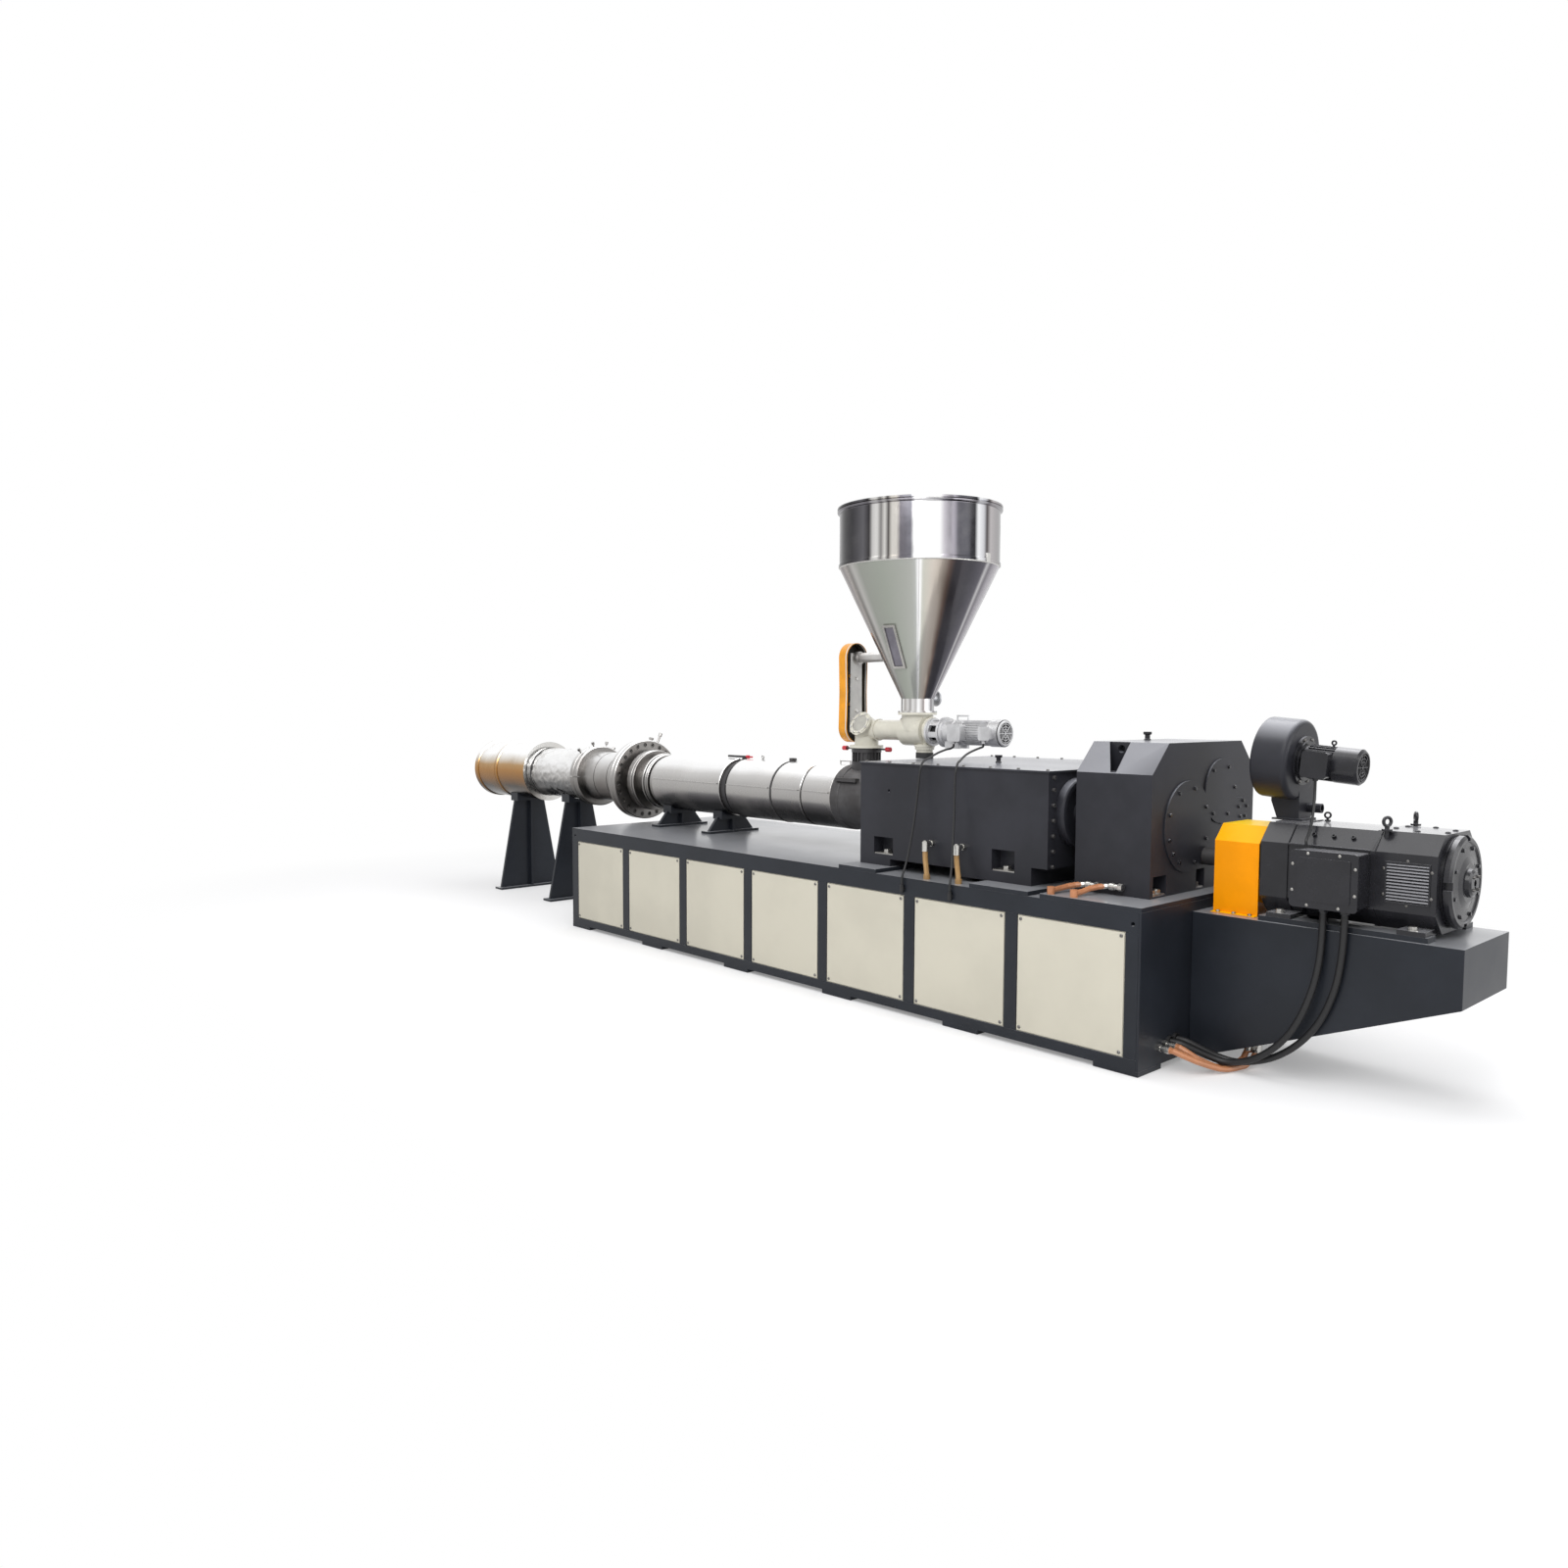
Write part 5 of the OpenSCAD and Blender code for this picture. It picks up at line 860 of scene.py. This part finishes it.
def makeFootSills(spec):
    x, free, apart = spec["gearX"], spec["free"], spec["boltsApart"] / 2
    feet, spots = [], []  # each foot: place, then length and width
    for y, width in spec["gearFeet"]:
        feet.append(((x, y, spec["gearFloor"]), spec["gearLength"], width - free))
        beside = (-apart, apart) if width > spec["twoBoltsFrom"] else (0,)
        spots += [(x, y + more, spec["gearFloor"]) for more in beside]
    for x, length, floor in spec["boxFeet"]:
        for y in (-spec["boxY"], spec["boxY"]):
            feet.append(((x, y, floor), length - free, spec["boxWidth"]))
            spots.append((x, y, floor))
    sills, bolts, thick = Parts(), Parts(), spec["thick"]
    for (x, y, floor), length, width in feet:
        sills.plate(standing(at(x, y, floor + thick / 2), (0, 0, 1)), (length / 1000, width / 1000, thick / 1000))
    for x, y, floor in spots:
        bolts.lathe(standing(at(x, y, floor + thick), (0, 0, 1), spec["boltTurn"]),
                    headProfile("hex", spec["bolt"]))
    sills.finish("foot_sills", "sillSteel", "dark_steel")
    bolts.finish("foot_bolts", "sillSteel", "bright_stainless")


makeFootSills(footSills)
print("bolts set")


# welds of the hopper, down the cone and round its top edge, and a bracket on the skirt; in mm and degrees
hopperTrim = {
    "seamTurn": -48.9, "seamSteps": 40, "seamOut": 0.4, "bead": 1.6,
    "neckR": 100, "neckZ": 1703, "coneR": 480, "coneZ": 2490,
    "weld": [(-2, -6), (1.2, -3), (1.2, 3), (-2, 6), (-2, -6)],  # out from and above the cone's edge
    "bracketTurn": 6, "bracketOut": 3, "bracketUp": 22, "bracket": (40, 52, 6),
}


def makeHopperTrim(spec):
    turn = math.radians(spec["seamTurn"])
    line = []
    for i in range(spec["seamSteps"] + 1):
        share = i / spec["seamSteps"]
        r = spec["neckR"] + (spec["coneR"] - spec["neckR"]) * share + spec["seamOut"]
        z = spec["neckZ"] + (spec["coneZ"] - spec["neckZ"]) * share
        line.append(at(hopper["x"] + r * math.cos(turn), r * math.sin(turn), z))
    seam = tubeCurve("cone_seam", line, spec["bead"] / 1000, "platedSteel", 2)
    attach(seam, "root")
    parts = Parts()
    weld = [((spec["coneR"] + out) / 1000, (spec["coneZ"] + up) / 1000) for out, up in spec["weld"]]
    parts.lathe(Matrix.Translation(at(hopper["x"], 0, 0)), weld, 128)
    spin = math.radians(spec["bracketTurn"])
    out = (math.cos(spin), math.sin(spin), 0)
    reach = spec["coneR"] + spec["bracketOut"]
    spot = at(hopper["x"] + reach * out[0], reach * out[1], spec["coneZ"] + spec["bracketUp"])
    parts.plate(standing(spot, out), [size / 1000 for size in spec["bracket"]])
    parts.finish("hopper_trim", "platedSteel", "bright_stainless")


makeHopperTrim(hopperTrim)


# short port on the far side of the hopper's neck, with a clamped ring; in mm
neckPort = {"turn": 80, "z": 1706, "from": 85, "reach": 152, "pipeR": 27, "ringR": 48, "ringT": 13}


def makeNeckPort(spec):
    turn = math.radians(spec["turn"])
    out = Vector((math.cos(turn), math.sin(turn), 0))
    place = standing(at(hopper["x"], 0, spec["z"]), out)
    start, pipe, ring, end, thick = [spec[key] / 1000 for key in ("from", "pipeR", "ringR", "reach", "ringT")]
    parts = Parts()
    parts.lathe(place, [(0, start), (pipe, start), (pipe, end - thick - 0.006), (pipe + 0.008, end - thick),
                        (ring - 0.003, end - thick), (ring, end - thick + 0.003), (ring, end - 0.003),
                        (ring - 0.003, end), (ring - 0.014, end), (ring - 0.017, end - 0.005), (0, end - 0.005)], 48)
    parts.finish("neck_port", "alloy", "bright_stainless")


makeNeckPort(neckPort)


# window of the sight port: a pane and the ring that holds it; radii, lift of the ring and reach in mm
sightWindow = {"centre": (-2373, 0, 1510), "outward": (0, -0.891, 0.454), "reach": 83, "pane": 55, "lift": 8}


def makeSightWindow(spec):
    out = Vector(spec["outward"])
    place = standing(at(*spec["centre"]) + out * spec["reach"] / 1000, out)
    pane, lift = spec["pane"] / 1000, spec["lift"] / 1000
    glass = Parts()
    glass.lathe(place, [(0, 0), (pane, 0), (pane, 0.003), (pane - 0.001, 0.004), (0, 0.004)], 48)
    glass.finish("sight_pane", "paneGrey", "sight_glass")
    rim = Parts()
    rim.lathe(place, [(pane - 0.003, 0.003), (pane, lift), (pane + 0.003, lift), (pane + 0.004, 0.003),
                      (pane - 0.003, 0.003)], 48)
    rim.finish("sight_rim", "platedSteel", "bright_stainless")


makeSightWindow(sightWindow)


# foil round the neck of the pipe head: crumpled sheet in overlapping turns, and a dark strap; in mm
foilWrap = {
    "from": -6292, "to": -5552, "axisZ": 1073, "radius": 209, "least": 199, "most": 214.4,
    "crumple": 3.3, "ridgeLevel": 0.75, "ridgeSharp": 2.4, "longWaves": 160, "roundWaves": 1.9,
    "coarse": 1.7, "fine": 4.1, "fineShare": 0.45, "turns": 4.0, "overlap": 2.2, "steps": 150, "sides": 120,
    "strapAt": -6252, "strapLean": 3, "strapWidth": 15, "strapR": (208.5, 214.4, 214.8),
}


def ridge(spot, scale, spec):
    return 1 - abs(noise.noise(spot * scale)) * spec["ridgeSharp"]


def makeFoilWrap(spec):
    mesh = bmesh.new()
    rows = []
    start, end, around = spec["from"], spec["to"], spec["roundWaves"]
    for i in range(spec["steps"] + 1):
        x = start + (end - start) * i / spec["steps"]
        row = []
        for j in range(spec["sides"]):
            turn = math.tau * j / spec["sides"]
            spot = Vector((x / spec["longWaves"], math.cos(turn) * around, math.sin(turn) * around))
            ridges = ridge(spot, spec["coarse"], spec) + spec["fineShare"] * ridge(spot, spec["fine"], spec)
            lap = ((x - start) / (end - start) * spec["turns"] + j / spec["sides"]) % 1
            r = spec["radius"] + spec["crumple"] * (ridges - spec["ridgeLevel"]) + spec["overlap"] * (lap - 0.5)
            r = min(spec["most"], max(spec["least"], r))
            row.append(mesh.verts.new(at(x, math.sin(turn) * r, spec["axisZ"] + math.cos(turn) * r)))
        rows.append(row)
    for low, high in zip(rows, rows[1:]):
        for j in range(spec["sides"]):
            k = (j + 1) % spec["sides"]
            mesh.faces.new((low[j], low[k], high[k], high[j]))
    for row in (rows[0], rows[-1]):
        mesh.faces.new(row)
    bmesh.ops.recalc_face_normals(mesh, faces=mesh.faces)
    for face in mesh.faces:
        face.smooth = len(face.verts) == 4
    data = bpy.data.meshes.new("neck_foil")
    mesh.to_mesh(data)
    mesh.free()
    data.materials.append(looks["foilBright"])
    piece = addObject("neck_foil", data)
    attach(piece, "root")
    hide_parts("head_wraps")
    strap = Parts()
    lean = Matrix.Rotation(math.radians(spec["strapLean"]), 4, "Y")
    upright = Matrix.Rotation(math.pi / 2, 4, "Y")
    place = Matrix.Translation(at(spec["strapAt"], 0, spec["axisZ"])) @ lean @ upright
    wide = spec["strapWidth"] / 2000
    inner, edge, outer = [radius / 1000 for radius in spec["strapR"]]
    strap.lathe(place, [(inner, -wide), (edge, -wide), (outer, -wide * 0.6), (outer, wide * 0.6), (edge, wide),
                        (inner, wide), (inner, -wide)], 96)
    strap.finish("neck_strap", "darkSteel", "dark_steel")


makeFoilWrap(foilWrap)
print("foil wrapped")


# floor and light, in metres and watts
studio = {
    "floorSize": 80, "floorColour": (0.86, 0.86, 0.87), "floorDark": 0.97, "floorRough": 0.75, "worldLight": 0.60,
    "nearX": 4.3, "nearY": 0.9, "fade": 2.6, "whiteNear": 0.25,  # how white the floor is beside the machine
    "aim": (0, 0, 1.0),
    "keyPower": 420, "keyPlace": (4.5, -6.0, 6.5), "keySize": 5.0,
    "topPower": 520, "topPlace": (0.0, 0.5, 7.5), "topSize": 9.0,
    "fillPower": 160, "fillPlace": (9.0, 1.5, 3.0), "fillSize": 4.0,
}


def areaLight(name, spec):
    place = Vector(spec[name + "Place"])
    data = bpy.data.lights.new(name + "Light", "AREA")
    data.energy = spec[name + "Power"]
    data.size = spec[name + "Size"]
    lamp = addObject(name + "Light", data)
    lamp.location = place
    lamp.rotation_euler = (place - Vector(spec["aim"])).to_track_quat("Z", "Y").to_euler()


# 1 for what the camera, metal and glass see; as a light the world is softer
def seenDirectly(look):
    camera, metal, glass = [look.node("ShaderNodeLightPath", out="Is %s Ray" % kind)
                            for kind in ("Camera", "Glossy", "Transmission")]
    return look.most(look.most(camera, metal), glass)


def makeWorld(strength):
    look = Look("studioWorld", bpy.data.worlds)
    level = look.node("ShaderNodeMapRange", {}, {"Value": seenDirectly(look), "To Min": strength, "To Max": 1.0})
    sky = look.node("ShaderNodeBackground", {}, {"Color": (1.0, 1.0, 1.0), "Strength": level})
    scene.world = look.output(sky, "ShaderNodeOutputWorld")


# pale floor that carries the shadow near the machine and fades to white away from it
def makeFloor(spec):
    half = spec["floorSize"] / 2
    mesh = bpy.data.meshes.new("floor")
    mesh.from_pydata([(-half, -half, 0), (half, -half, 0), (half, half, 0), (-half, half, 0)], [], [(0, 1, 2, 3)])
    floor = addObject("floor", mesh)
    floor.location.z = -0.002
    look = Look("floorWhite")
    tone = look.noise(0.8, 3)
    colour = spec["floorColour"]
    outside = [look.most(look.absolute(place) - near, 0.0)
               for place, near in zip(look.axes(), (spec["nearX"], spec["nearY"]))]
    away = look.between(look.apart(*outside), 0.0, spec["fade"], spec["whiteNear"], 1.0)
    matt = look.node("ShaderNodeBsdfPrincipled", {}, {
        "Base Color": look.mix(tone, colour, shaded(colour, spec["floorDark"])),
        "Roughness": spec["floorRough"]})
    white = look.node("ShaderNodeEmission", {}, {"Color": (1.0, 1.0, 1.0)})
    both = look.node("ShaderNodeMixShader", {}, {0: seenDirectly(look) * away, 1: matt, 2: white})
    mesh.materials.append(look.output(both))


makeWorld(studio["worldLight"])
makeFloor(studio)
for name in ("key", "top", "fill"):
    areaLight(name, studio)
print("studio lit")
